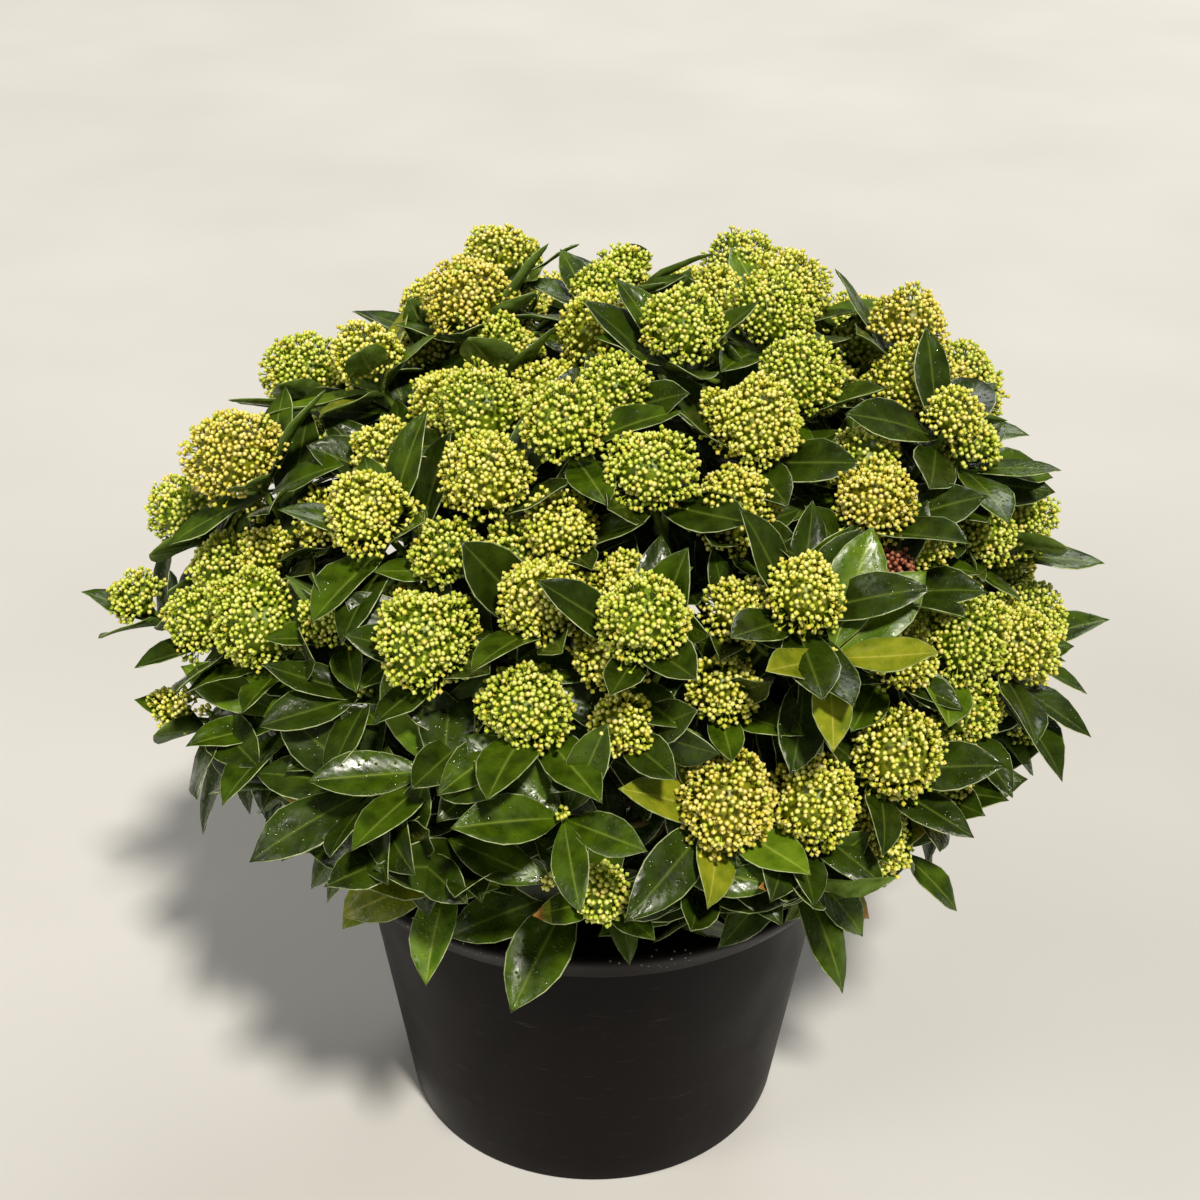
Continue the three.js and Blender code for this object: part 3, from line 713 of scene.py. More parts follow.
def makeTwigs(name, ownMasses):
    bm = bmesh.new()
    for mass in ownMasses:
        past = mass["hub"] + mass["stemHeading"] * twigs["stemPast"] * mm
        stem = smoothLine([massFoot(mass), mass["hub"], past], twigs["stemSteps"])
        radii = np.linspace(twigs["stemRoot"], twigs["stemTip"], len(stem))
        growTube(bm, stem, radii, twigs["stemSides"])
    for shoot in allShoots:
        if shoot["mass"] not in ownMasses:
            continue
        shoot["line"] = smoothLine(twigPath(shoot), twigs["steps"])
        radii = np.linspace(twigs["rootRadius"], twigs["tipRadius"], twigs["steps"] + 1)
        growTube(bm, shoot["line"], radii * twigs["thin"][shoot["kind"]], twigs["sides"])
    closeEnds(bm)
    for face in bm.faces:  # the growth of earlier years has turned brown
        middle = face.calc_center_median()
        nearest = min((middle - mass["hub"]).length for mass in ownMasses)
        face.material_index = 1 if nearest < twigs["woody"] else 0
    finishPiece(name, meshFrom(bm, name), twigSkins, "green_bark")


heads = {
    "spacing": 2.8 * mm,  # from one bud to the next, and from row to row as a share of it
    "rows": 0.866,
    "budRadius": (1.05 * mm, 1.45 * mm),
    "budSides": 6,
    "budTip": 0.96,  # how far a bud reaches above and below its widest ring, in its own radii
    "budBase": 1.3,
    "stalk": 0.38,  # radius of its stalk, and where that ends above and below, in the same measure
    "stalkTop": -0.8,
    "stalkFoot": -2,  # in the shape alone: each bud's stalk has a length of its own
    # a bud's tip takes the palest tints, partly a painted highlight; the stalks take tints darker than their
    # own, as painted shade between the buds
    "shades": {"foot": 0.16, "base": 0.38, "waist": 0.64, "tip": 1, "stalks": 0.14},  # where in its tints
    "sink": 4.8 * mm,  # from the bud's widest ring down to the mass of stalks
    "rooting": 0.6 * mm,  # how far a stalk goes into that mass
    "leastStalk": 1.6 * mm,
    "lowest": {"head": math.radians(111), "tip": math.radians(75)},  # how far round it the buds of a shoot go
    "height": (0.98, 1.24),  # how high a head stands over its middle, as a share of its radius
    "under": 0.92,  # and how deep it hangs below
    "lumps": 0.05,  # height of its swellings, and how closely they follow each other
    "lumpiness": 3.0,
    "clefts": 0.1,  # depth of the clefts between its clusters, how closely they follow, and how wide they are
    "creasing": 3.6,
    "cleftWidth": 0.3,
    "missing": (0.04, 0.3),  # share of places where no bud stands, on top and at the lower fringe
    "fringe": (-0.35, 0.25),  # how high on a head, as a sine, its fringe passes into its top
    "loose": 0.1,  # below this, as a sine, its buds stand further out or in, by up to
    "ragged": (-4.5 * mm, 5 * mm),
    "uneven": 0.75 * mm,  # and all of them by about this
    "second": 0.32,  # share of the buds that stand in a second layer, and how much deeper that is
    "secondSink": 1.7 * mm,
    "astray": 0.2,  # how far a bud stands from its even place, as a share of the spacing
    "tilt": 0.22,  # how far it leans away, and how much all of them lean up
    "lift": 0.12,
    "leafBud": 3.6 * mm,  # radius of the tip of a shoot that bears no flowers
    "smallest": 6 * mm,  # a tip smaller than this is smooth
}
stalkMass = {
    "uneven": 0.5 * mm,
    "narrowing": 0.62,  # how much it narrows towards its twig, from just under the middle of a head
    "narrowFrom": 0.05,
    "drawn": 0.25,  # how far it is drawn down at its foot, as a share of the head's radius
    "drawnFrom": 0.6,
}
# the palest stops, at a bud's tip, are partly its own cream and partly a painted highlight; the darkest, at
# its foot, also colour the mass of stalks inside a head, as painted shade
budTints = {  # from the foot of a bud to its tip
    "cream": [(0.05, "#5f6c0a"), (0.28, "#9ba518"), (0.52, "#c1c429"), (0.74, "#e4e05a"), (0.92, "#f6f29e")],
    "green": [(0.05, "#556a08"), (0.28, "#89a218"), (0.52, "#aebe28"), (0.76, "#d4dc54"), (0.94, "#edee92")],
    "peach": [(0.05, "#62680c"), (0.28, "#a1a01a"), (0.52, "#c8bc2c"), (0.74, "#e8d95c"), (0.92, "#f7e89a")],
    "dead": [(0.05, "#3d2413"), (0.3, "#6e3a26"), (0.52, "#8f4d34"), (0.8, "#a9674a"), (0.96, "#bd8462")],
}
tintNames = list(budTints)
tintShares = {
    "main": [("cream", 0.56), ("green", 0.92), ("peach", 1)],  # up to this value of an even draw
    "side": [("green", 0.6), ("cream", 1)],
    "peachBuds": 0.17,  # share of a head's buds that are this tint, whatever its own
    "greenBuds": 0.2,
}


def budShape():  # a round bud, and a thin stalk drawn to a point on the branching beneath
    bm = bmesh.new()
    ball = bmesh.ops.create_uvsphere(bm, u_segments=heads["budSides"], v_segments=2, radius=1)["verts"]
    for vert in ball:
        vert.co.z *= heads["budTip"] if vert.co.z > 0 else heads["budBase"]
    bmesh.ops.create_cone(bm, cap_ends=True, segments=3, radius1=0, radius2=heads["stalk"], depth=1)
    for vert in bm.verts:
        if vert not in ball:
            vert.co.z = heads["stalkFoot"] if vert.co.z < 0 else heads["stalkTop"]
    return shapeOf(bm, lambda face: 0)


def stalkShape():  # the mass of stalks inside a head, as directions
    bm = bmesh.new()
    bmesh.ops.create_icosphere(bm, subdivisions=2, radius=1)
    return shapeOf(bm, lambda face: 0)


def headDirections(count, lowest, turn):  # even directions over a dome, from its top down to the lowest
    i = np.arange(count) + 0.5
    polar = np.arccos(1 - (1 - math.cos(lowest)) * i / count)
    azimuth = i * goldenAngle + turn
    return np.stack([np.sin(polar) * np.cos(azimuth), np.sin(polar) * np.sin(azimuth), np.cos(polar)], axis=1)


def unit(rows):
    return rows / np.linalg.norm(rows, axis=-1, keepdims=True)


def planHead(shoot):  # one head's size, place and turn, and the swellings and clefts of its surface
    random = np.random.default_rng(1000 + shoot["id"])
    first, second = squareTo(shoot["heading"], chance(shoot["id"], "turn") * math.pi)
    return {
        "random": random,
        "middle": np.array(shoot["tip"]),
        "turn": np.array([first, second, shoot["heading"]]),
        "radius": shoot["radius"] if shoot["flowers"] else heads["leafBud"],
        "height": between(*heads["height"], shoot["id"], "height"),
        "waves": random.normal(0, heads["lumpiness"], (3, 4)),
        "phases": random.uniform(0, 2 * math.pi, 4),
        "creases": random.normal(0, heads["creasing"], (3, 2)),
        "starts": random.uniform(0, 2 * math.pi, 2),
    }


def headSurface(head, out, sink):  # points of a head's surface in these directions, sunk by so much
    swell = 1 + heads["lumps"] * np.sin(out @ head["waves"] + head["phases"]).sum(axis=1)
    creases = np.sin(out @ head["creases"] + head["starts"]).prod(axis=1)
    swell -= heads["clefts"] * np.exp(-(creases / heads["cleftWidth"]) ** 2)
    tall = np.where(out[:, 2] > 0, head["height"], heads["under"])
    wide = np.ones(len(out))
    return out * np.stack([wide, wide, tall], axis=1) * (head["radius"] * swell - sink)[:, None]


def planBuds(head, lowest):  # the places, headings, radii and stalk lengths of a head's buds
    random, radius = head["random"], head["radius"]
    area = 2 * math.pi * radius ** 2 * (1 - math.cos(lowest))
    count = max(8, round(area / (heads["rows"] * heads["spacing"] ** 2)))
    out = headDirections(count, lowest, random.uniform(0, 6.28))
    out = out[random.random(count) > np.interp(out[:, 2], heads["fringe"], heads["missing"][::-1])]
    count = len(out)
    out = unit(out + random.normal(0, heads["astray"] * heads["spacing"] / radius, out.shape))
    loose = np.clip(heads["loose"] - out[:, 2], 0, 1)
    sink = random.normal(0, heads["uneven"], count) - loose * random.uniform(*heads["ragged"], count)
    sink += np.where(random.random(count) < heads["second"], heads["secondSink"], 0)
    sink = np.where(radius < heads["smallest"], 0, sink)
    middle = headSurface(head, out, sink)
    way = unit(out + random.normal(0, heads["tilt"], out.shape) + [0, 0, heads["lift"]])
    size = random.uniform(*heads["budRadius"], count)
    length = np.maximum(heads["sink"] + heads["rooting"] - sink, heads["leastStalk"])
    return middle @ head["turn"] + head["middle"], way @ head["turn"], size, length


def framesFor(ways):  # two directions square to each way
    reference = np.where(np.abs(ways[:, 2:]) < 0.9, [[0, 0, 1.0]], [[1.0, 0, 0]])
    first = unit(np.cross(reference, ways))
    return first, np.cross(ways, first)


def tintOf(shoot):
    if shoot.get("dead"):
        return "dead"
    draw = chance(shoot["id"], "tint")
    shares = tintShares[shoot["kind"] if shoot["flowers"] else "side"]
    return next(name for name, share in shares if draw < share)


def makeHeads(name, ownShoots, shape, skins):
    places, slots, axes = [], [], []
    local = shape["verts"]
    level = local[:, 2]
    isFoot = level <= heads["stalkFoot"]
    shades = heads["shades"]
    zones = [isFoot, level < -0.5, level < 0.5]
    along = np.select(zones, [shades["foot"], shades["base"], shades["waist"]], shades["tip"])
    for shoot in ownShoots:
        head = planHead(shoot)
        lowest = heads["lowest"]["head" if shoot["flowers"] else "tip"]
        middle, way, size, length = planBuds(head, lowest)
        first, second = framesFor(way)
        lift = np.where(isFoot, -length[:, None], level * size[:, None])
        rows = (middle[:, None] + first[:, None] * (local[:, 0] * size[:, None])[..., None]
                + second[:, None] * (local[:, 1] * size[:, None])[..., None] + way[:, None] * lift[..., None])
        places.append(rows)
        tints = np.full(len(middle), tintNames.index(tintOf(shoot)))
        draw = head["random"].random(len(middle))
        if not shoot.get("dead"):  # a few buds of a head ripen before the others, or after them
            tints[draw < tintShares["peachBuds"]] = tintNames.index("peach")
            tints[draw > 1 - tintShares["greenBuds"]] = tintNames.index("green")
        slots.append(np.repeat(tints[:, None], shape["faces"], axis=1))
        ripeness = head["random"].random((len(middle), 1))
        axes.append(np.stack(np.broadcast_arrays(ripeness, along), axis=2))
    mesh = joinCopies(name, shape, np.concatenate(places), np.concatenate(slots), np.concatenate(axes))
    finishPiece(name, mesh, skins, "foliage")


def makeStalks(name, ownShoots, shape, skins):  # the dense branching inside each head, drawn in to its twig; its colour, darker than its own green, is painted shade in the gaps between the buds
    places, slots = [], []
    out = unit(shape["verts"])
    below = -out[:, 2:]
    narrowing = stalkMass["narrowing"] * np.clip(below - stalkMass["narrowFrom"], 0, 1)
    narrowing /= 1 - stalkMass["narrowFrom"]
    sag = np.clip(below[:, 0] - stalkMass["drawnFrom"], 0, 1)
    for shoot in ownShoots:
        if not shoot["flowers"]:
            continue
        head = planHead(shoot)
        uneven = head["random"].normal(0, stalkMass["uneven"], len(out))
        rows = headSurface(head, out, heads["sink"] + uneven)
        rows[:, :2] *= 1 - narrowing
        rows[:, 2] -= stalkMass["drawn"] * head["radius"] * sag
        places.append(rows @ head["turn"] + head["middle"])
        slots.append(np.full(shape["faces"], tintNames.index(tintOf(shoot))))
    # a low place on the bud tints, darker than the stalks are: painted shade
    axes = np.array([[0.5, heads["shades"]["stalks"]]] * len(out))
    mesh = joinCopies(name, shape, np.array(places), np.array(slots), axes)
    finishPiece(name, mesh, skins, "foliage")


leaves = {
    "length": 62 * mm,
    "width": 25.5 * mm,
    "thickness": 0.5 * mm,
    "ribDepth": 0.5 * mm,  # how far the rib stands out beneath
    "runs": [0, 0.05, 0.13, 0.25, 0.38, 0.52, 0.66, 0.79, 0.885, 0.95, 1],  # from its foot to its tip
    "halfWidths": [0, 0.09, 0.3, 0.63, 0.87, 0.99, 0.96, 0.74, 0.44, 0.17, 0],  # share of half the width
    "lines": [-1, -0.955, -0.5, 0, 0.5, 0.955, 1],  # margin, blade, rib, blade, margin
    "skirt": (math.radians(4), math.radians(34)),  # rises between which the skirt passes into what is above
    "onMain": (9, 6),  # in the whorl of a main shoot, at the skirt and above
    "onSide": (5, 5),
    "older": (4, 7),  # leaves of last year down a main twig, at the skirt and above
    "olderOnSide": 1,
    "olderIds": 500,  # added to a shoot's number, so that they have draws of their own
    "olderFrom": 7,  # step of the twig where the uppermost of them stands
    "sizes": (0.84, 1.12),
    "growth": (0.93, 0.86),  # times the size, at the skirt and above
    "sideGrowth": 0.8,  # on a side shoot
    "grown": 1.1,  # last year's leaves
    "widths": (0.86, 1.12),
    "fold": 0.24,  # how much its halves rise from the rib
    "folds": (0.4, 1.5),  # times the fold
    "cups": (-7, 12.6),  # how far each half curls, per metre
    "arch": 0.18,  # how far it bends down, as a share of its length
    "arches": ((0.4, 1.5), (-0.4, 1.1)),  # times the arch, at the skirt and above; below 0 it bends up
    "tipCurl": (0.0, 0.3),  # how much its tip curls down, and from where along it
    "curlFrom": 0.72,
    "ripple": (0.4, 1.7),  # how high its margin ripples, in millimetres
    "ripples": 9,  # how far the ripple turns along a blade, in radians
    "twist": 0.28,  # in radians at the tip, and how far the blade then moves aside
    "twistShift": 0.3,
    "spread": ((38, 84), (44, 80)),  # degrees off the shoot, at the skirt and above
    "olderSpread": 6,  # degrees more for last year's leaves
    "below": 0.72,  # where a whorl starts under its head, as a share of the head's radius
    "stem": 2 * mm,  # and so much further down
    "aloneStem": 4 * mm,  # a head that stands alone stands clear of its leaves by this
    "droop": 0.26,  # how steeply a leaf points down at most, and how steeply the next three lift it
    "raised": 0.9,
    "rest": 194 * mm,  # no leaf's tip is lower than this over the pot's lip,
    "lip": 140 * mm,  # nor, beyond that radius, than a line that
    "flare": 0.85,  # rises by this share of the way out: the crown opens upwards from the pot
    "loose": (-10, 14),  # millimetres, give or take
    "hanging": 0.36,  # share of the lowest whorls' leaves that hang over the lip, from which rise down, and
    "hangsBelow": math.radians(10),
    "dip": 0.45,  # how much they dip, down to how steep
    "steepest": 0.72,
    "felt": (0.35, 0.6, 0.85, 1.0),  # points along a leaf that have to be clear of the heads of other shoots
    "clearance": 1.05,  # by this share of a head's radius
    "aloof": 2.8,  # and heads that stand alone count as so many times larger
    "brownTips": 0.07,  # share of the skirt's leaves with brown tips, below which rise, and from where
    "brownBelow": math.radians(30),
    "brownFrom": (0.8, 0.89),
}
bladeTints = {  # in shade, in light, and the rib
    # deep is partly an old leaf's own dark green and partly painted shade, for the leaves inside the crown
    # that mostly take it
    "deep": ("#1c2902", "#33460a", "#5c6d25"),
    "mid": ("#283a02", "#475f0b", "#74882f"),
    "fresh": ("#415d08", "#69841a", "#98a940"),
    "sunned": ("#637212", "#929622", "#b3b04a"),
    "browned": ("#7d521f", "#bd9337", "#a67a3a"),
}
bladeNames = list(bladeTints)
bladeShares = {
    "whorl": [("deep", 0.42), ("mid", 0.88), ("fresh", 1.02), ("sunned", 2)],  # up to this value of a draw
    # last year's leaves, inside the crown, mostly take the deep tint: partly their own dark green, partly
    # painted shade
    "older": [("deep", 0.85), ("mid", 1)],
    "pale": [("fresh", 0.7), ("sunned", 1)],
    "stray": 0.12,  # how far a leaf's draw may be from its shoot's
    "lowest": 0.08,  # how much fresher the lowest leaves are, and below which rise
    "lowestBelow": math.radians(16),
}
# the slot of the margin strip, whose pale colour is a painted highlight where the edge catches the light
edgeHighlightSlot = len(bladeNames)
undersideSlot = edgeHighlightSlot + 1


def makeLeafSkins():
    skins = [leafBlade(f"{name} skimmia leaf, waxy", *colours) for name, colours in bladeTints.items()]
    # the margin: pale, a painted highlight of the edge catching the light
    skins.append(softSkin("leaf margin, painted edge highlight", "#7d9150", "#c6d09c", 5, 0.4, 0.1))
    skins.append(leafBlade("leaf underside, duller", "#43581c", "#647b36", "#8fa45c", 0.14))
    return skins


def halfWidth(run):
    return float(np.interp(run, leaves["runs"], leaves["halfWidths"]))


def leafShape():  # a closed blade, flat: six strips on top and two beneath, one body at its edge
    bm = bmesh.new()
    runs = leaves["runs"]
    for side, lines in ((1, leaves["lines"]), (-1, [-1, 0, 1])):
        columns, strips = len(runs) - 1, len(lines) - 1
        sheet = bmesh.ops.create_grid(bm, x_segments=columns, y_segments=strips, size=1)["verts"]
        for vert in sheet:
            run = runs[round((vert.co.x + 1) / 2 * columns)]
            line = lines[round((vert.co.y + 1) / 2 * strips)]
            inside = abs(line) < 1 and 0 < run < 1
            vert.co = (run, line * halfWidth(run), side * 0.02 if inside else 0)  # above 0 on top
    bmesh.ops.remove_doubles(bm, verts=bm.verts, dist=1e-4)
    bmesh.ops.recalc_face_normals(bm, faces=bm.faces)
    marginFrom = leaves["lines"][-2]

    def zone(face):
        middle = face.calc_center_median()
        if face.normal.z < 0:
            return undersideSlot
        return edgeHighlightSlot if abs(middle.y) > marginFrom * halfWidth(middle.x) else 0
    return shapeOf(bm, zone)


def aboveSkirt(shoot, pair):  # the first of a pair at the skirt, the second above it, and between them a mix
    return mix(*pair, smoothStep(shoot["rise"], *leaves["skirt"]))


def rangeAt(shoot, ranges):  # the same for a range: its lower and its upper ends
    return [aboveSkirt(shoot, ends) for ends in zip(*ranges)]


def planLeaf(shoot, root, axis, turn, item, draw, kind):
    older, side = kind == "older", squareTo(axis, turn)[0]
    extra = leaves["olderSpread"] if older else 0
    spread = math.radians(between(*rangeAt(shoot, leaves["spread"]), item, draw) + extra)
    size = between(*leaves["sizes"], item, draw + 1) * aboveSkirt(shoot, leaves["growth"])
    size *= leaves["sideGrowth"] if shoot["kind"] == "side" else 1
    size *= leaves["grown"] if older else 1
    arch = leaves["arch"] * between(*rangeAt(shoot, leaves["arches"]), item, draw + 2)
    outwards = axis * math.cos(spread) + side * math.sin(spread)
    low = not older and shoot["rise"] < leaves["hangsBelow"]
    if low and chance(item, draw + 3) < leaves["hanging"]:
        outwards.z = max(outwards.z - leaves["dip"], -leaves["steepest"])
    else:
        length = leaves["length"] * size
        beyond = max(0, (root + outwards * length).xy.length - leaves["lip"])
        lowest = leaves["rest"] + leaves["flare"] * beyond + between(*leaves["loose"], item, draw + 3) * mm
        raised = min(leaves["raised"], (lowest - root.z) / length + arch)
        outwards.z = max(outwards.z, -leaves["droop"], raised)
    outwards.normalize()
    across = axis.cross(outwards).normalized()
    return {"root": root, "outwards": outwards, "across": across, "upper": outwards.cross(across),
            "kind": kind, "size": size, "arch": arch, "shoot": shoot}


def planLeaves(shoot):
    found = []
    main = shoot["kind"] == "main"
    below = leaves["stem"] + (leaves["below"] * shoot["radius"] if shoot["flowers"] else 0)
    if "alone" in shoot:
        below = shoot["radius"] + leaves["aloneStem"]
    for i in range(round(aboveSkirt(shoot, leaves["onMain" if main else "onSide"]))):
        turn = i * goldenAngle + chance(shoot["id"], "whorl") * 2 * math.pi
        root = shoot["tip"] - shoot["heading"] * (below + i * mm)
        draw = draws["leaf"] + 4 * i  # a leaf has four draws
        found.append(planLeaf(shoot, root, shoot["heading"], turn, shoot["id"], draw, "whorl"))
    for i in range(round(aboveSkirt(shoot, leaves["older"])) if main else leaves["olderOnSide"]):
        step = leaves["olderFrom"] - i
        axis = (shoot["line"][step + 1] - shoot["line"][step - 1]).normalized()
        turn = (i + 0.5) * goldenAngle + chance(shoot["id"], "lastYear") * 2 * math.pi
        item, draw = shoot["id"] + leaves["olderIds"], draws["leaf"] + 4 * i
        found.append(planLeaf(shoot, shoot["line"][step], axis, turn, item, draw, "older"))
    return found


def bladeKind(leaf, index):
    shoot = leaf["shoot"]
    item = shoot["id"] + index
    if leaf["kind"] == "older":
        shares, draw = bladeShares["older"], chance(item, "oldTint")
    elif shoot.get("pale"):
        shares, draw = bladeShares["pale"], chance(item, "paleTint")
    else:
        shares = bladeShares["whorl"]
        draw = chance(shoot["id"], "shootTint") + bladeShares["stray"] * (chance(item, "leafTint") - 0.5)
        draw += bladeShares["lowest"] if shoot["rise"] < bladeShares["lowestBelow"] else 0
    return next(name for name, share in shares if draw < share)


def isClear(leaf):  # of the heads of other shoots
    length = leaves["length"] * leaf["size"]
    for run in leaves["felt"]:
        point = leaf["root"] + (leaf["outwards"] * run - leaf["upper"] * leaf["arch"] * run ** 2) * length
        gaps = np.linalg.norm(headTips - np.array(point), axis=1) / headRadii
        gaps[leaf["shoot"]["number"]] = math.inf
        if gaps.min() < leaves["clearance"]:
            return False
    return True


def bendLeaves(found, shape, random):  # the places of every leaf's corners, its run and its line across
    count = len(found)
    size, arch = [np.array([leaf[key] for leaf in found])[:, None] for key in ("size", "arch")]
    length = leaves["length"] * size
    width = leaves["width"] * size * random.uniform(*leaves["widths"], (count, 1))
    flat = shape["verts"]
    run = flat[:, 0]
    half = np.array([halfWidth(value) for value in run])
    line = np.where(half > 0, flat[:, 1] / np.maximum(half, 1e-6), 0)
    aside = 0.5 * width * flat[:, 1]
    fold = leaves["fold"] * random.uniform(*leaves["folds"], (count, 1))
    cup = random.uniform(*leaves["cups"], (count, 1))
    tipCurl = random.uniform(*leaves["tipCurl"], (count, 1))
    ripple = random.uniform(*leaves["ripple"], (count, 1)) * mm
    phase = random.uniform(0, 6.28, (count, 1))
    lift = (fold * np.abs(aside) - cup * aside ** 2 - arch * length * run ** 2
            - tipCurl * length * np.clip(run - leaves["curlFrom"], 0, 1) ** 2
            + ripple * np.sin(run * leaves["ripples"] + phase) * np.abs(line) * half)
    lift += np.sign(flat[:, 2]) * 0.5 * leaves["thickness"]
    lift -= np.where((flat[:, 2] < 0) & (np.abs(line) < 0.01), leaves["ribDepth"], 0)
    twist = random.normal(0, leaves["twist"], (count, 1)) * run
    turned = aside * np.cos(twist) - lift * np.sin(twist) * leaves["twistShift"]
    lift = lift + aside * np.sin(twist)
    root, outwards, across, upper = [
        np.array([leaf[key] for leaf in found])[:, None] for key in ("root", "outwards", "across", "upper")]
    places = (root + outwards * (run * length)[..., None] - across * turned[..., None]
              + upper * lift[..., None])
    return places, run, line


def makeLeaves(name, ownShoots, shape, skins, *nodes):
    found = [leaf for shoot in ownShoots for leaf in planLeaves(shoot) if isClear(leaf)]
    random = np.random.default_rng(len(name) * 31 + len(found))
    places, run, line = bendLeaves(found, shape, random)
    slots = np.tile(shape["slots"], (len(found), 1))
    isBlade = shape["slots"] == 0
    faceRuns = np.add.reduceat(run[shape["corners"]], shape["starts"]) / shape["totals"]
    for i, leaf in enumerate(found):
        shoot = leaf["shoot"]
        slots[i][isBlade] = bladeNames.index(bladeKind(leaf, i))
        low = leaf["kind"] == "whorl" and shoot["rise"] < leaves["brownBelow"]
        if low and chance(shoot["id"] + i, "brownTip") < leaves["brownTips"]:
            yellowFrom, brownFrom = leaves["brownFrom"]
            slots[i][(faceRuns > yellowFrom) & isBlade] = bladeNames.index("sunned")
            slots[i][faceRuns > brownFrom] = bladeNames.index("browned")
    uv = np.stack([run, 0.5 + 0.5 * line], axis=1)
    finishPiece(name, joinCopies(name, shape, places, slots, uv), skins, "foliage", *nodes)


groups = {  # parts of the crown, each with its masses
    "skirt_left": ["foliage_low_1", "foliage_low_7"],
    "skirt_front": ["foliage_low_2", "foliage_low_3"],
    "skirt_right": ["foliage_low_4", "foliage_low_5"],
    "skirt_back": ["foliage_low_6"],
    "shoulder_left": ["foliage_high_1", "foliage_high_2"],
    "shoulder_right": ["foliage_high_3", "foliage_high_4"],
    "shoulder_back": ["foliage_high_5"],
    "top": ["foliage_top"],
}
leafyPart = {"azimuth": -122, "width": 82, "rise": 35}  # degrees: where the skirt bears leaves and no heads
deadHead = {"azimuth": -51, "rise": 47, "radius": 12 * mm}  # towards where the one dead head stands
paleShoot = {"azimuth": -60, "rise": 38}  # and towards a shoot below it with pale leaves and no head


def inLeafyPart(outwards):
    azimuth = math.degrees(math.atan2(outwards.y, outwards.x))
    away = abs((azimuth - leafyPart["azimuth"] + 180) % 360 - 180) / leafyPart["width"]
    return away < 1 and math.degrees(math.asin(outwards.z)) < leafyPart["rise"] * (1 - away ** 2)


def mainShootAt(spot):
    towards = heading(math.radians(spot["azimuth"]), math.radians(spot["rise"]))
    return min(shoots, key=lambda one: (one["outwards"] - towards).length)


for shoot in allShoots:
    shoot["flowers"] = "alone" in shoot or shoot["flowers"] and not inLeafyPart(shoot["outwards"])
mainShootAt(deadHead).update(dead=True, flowers=True, radius=deadHead["radius"])
mainShootAt(paleShoot).update(pale=True, flowers=False)

headTips = np.array([shoot["tip"] for shoot in allShoots])
headRadii = np.array([shoot["radius"] if shoot["flowers"] else heads["leafBud"] for shoot in allShoots])
headRadii *= [leaves["aloof"] if "alone" in shoot else 1 for shoot in allShoots]

budSkins = [flowerBud(f"{name} flower bud, waxy", stops) for name, stops in budTints.items()]
leafSkins = makeLeafSkins()
bud, stalk, blade = budShape(), stalkShape(), leafShape()
for part, names in groups.items():
    own = [shoot for shoot in allShoots if shoot["mass"]["name"] in names]
    makeTwigs(f"twigs_{part}", [mass for mass in masses if mass["name"] in names])
    makeLeaves(f"leaves_{part}", own, blade, leafSkins, *names)
    makeHeads(f"flower_buds_{part}", own, bud, budSkins)
    makeStalks(f"flower_stalks_{part}", own, stalk, budSkins)


pot = {
    "height": 190 * mm,
    "baseRadius": 101 * mm,
    "bodyRadius": 126 * mm,
    "rimRadius": 149 * mm,
    "rimDrop": 20 * mm,  # from the lip's top down to its lower edge
    "lip": 3 * mm,  # radius of its rolled edge
    "wall": 2 * mm,
    "floor": 3 * mm,
    "sides": 144,
    "dust": (158 * mm, 176 * mm),  # heights between which dust begins to lie
}
drain = {"count": 8, "radius": 6 * mm, "ring": 78 * mm}
soil = {
    "height": 168 * mm,
    "edge": 3.5 * mm,  # how much lower it lies at the pot's wall
    "air": 0.4 * mm,  # between it and the wall, and under it
    "airBelow": 0.3 * mm,
    "rough": 2.2 * mm,  # how high its clods stand, and how large they and its crumbs are
    "clod": 9 * mm,
    "crumb": 3.4 * mm,
    "crumbHeight": 0.6,  # times the height of the clods, and how quickly both fade towards the wall
    "fade": 12,
    "even": 0.2,  # share of its radius that lies level, before it slopes
    "around": 110,
    "rows": 44,
}


def potProfile():  # radius and height from the middle of the underside, over the rim, to that of the floor
    height, base, body, rim = pot["height"], pot["baseRadius"], pot["bodyRadius"], pot["rimRadius"]
    wall, lip, floor = pot["wall"], pot["lip"], pot["floor"]
    shoulder = height - pot["rimDrop"]
    rows = 12  # up the side
    profile = [(0, 0), (base - 3 * mm, 0), (base - 0.6 * mm, 0.8 * mm), (base, 3 * mm)]
    for i in range(1, rows + 1):
        profile.append((mix(base, body, i / rows), mix(3 * mm, shoulder, i / rows)))
    profile += [(body + 1 * mm, shoulder + 5 * mm), (body + 3 * mm, height - 7 * mm),
                (body + 5 * mm, height - 5.5 * mm), (rim - 7 * mm, height - 8 * mm),
                (rim - 14 * mm, shoulder + 1 * mm), (rim - 13.4 * mm, shoulder - 0.6 * mm),
                (rim - 12 * mm, shoulder - 1 * mm), (rim - 11 * mm, shoulder + 0.6 * mm),
                (rim - 1.4 * mm, height - 7 * mm)]
    for i in range(7):  # the lip rolls over
        turn = math.radians(-20 + i * 110 / 6)
        profile.append((rim - lip + lip * math.cos(turn), height - lip + lip * math.sin(turn)))
    profile += [(body + 10 * mm, height - 0.2 * mm), (body + 7 * mm, height - 1 * mm),
                (body + 4 * mm, height - 5 * mm), (body - wall, shoulder),
                (base - wall, floor + 3 * mm), (base - wall - 2 * mm, floor), (0, floor)]
    return profile


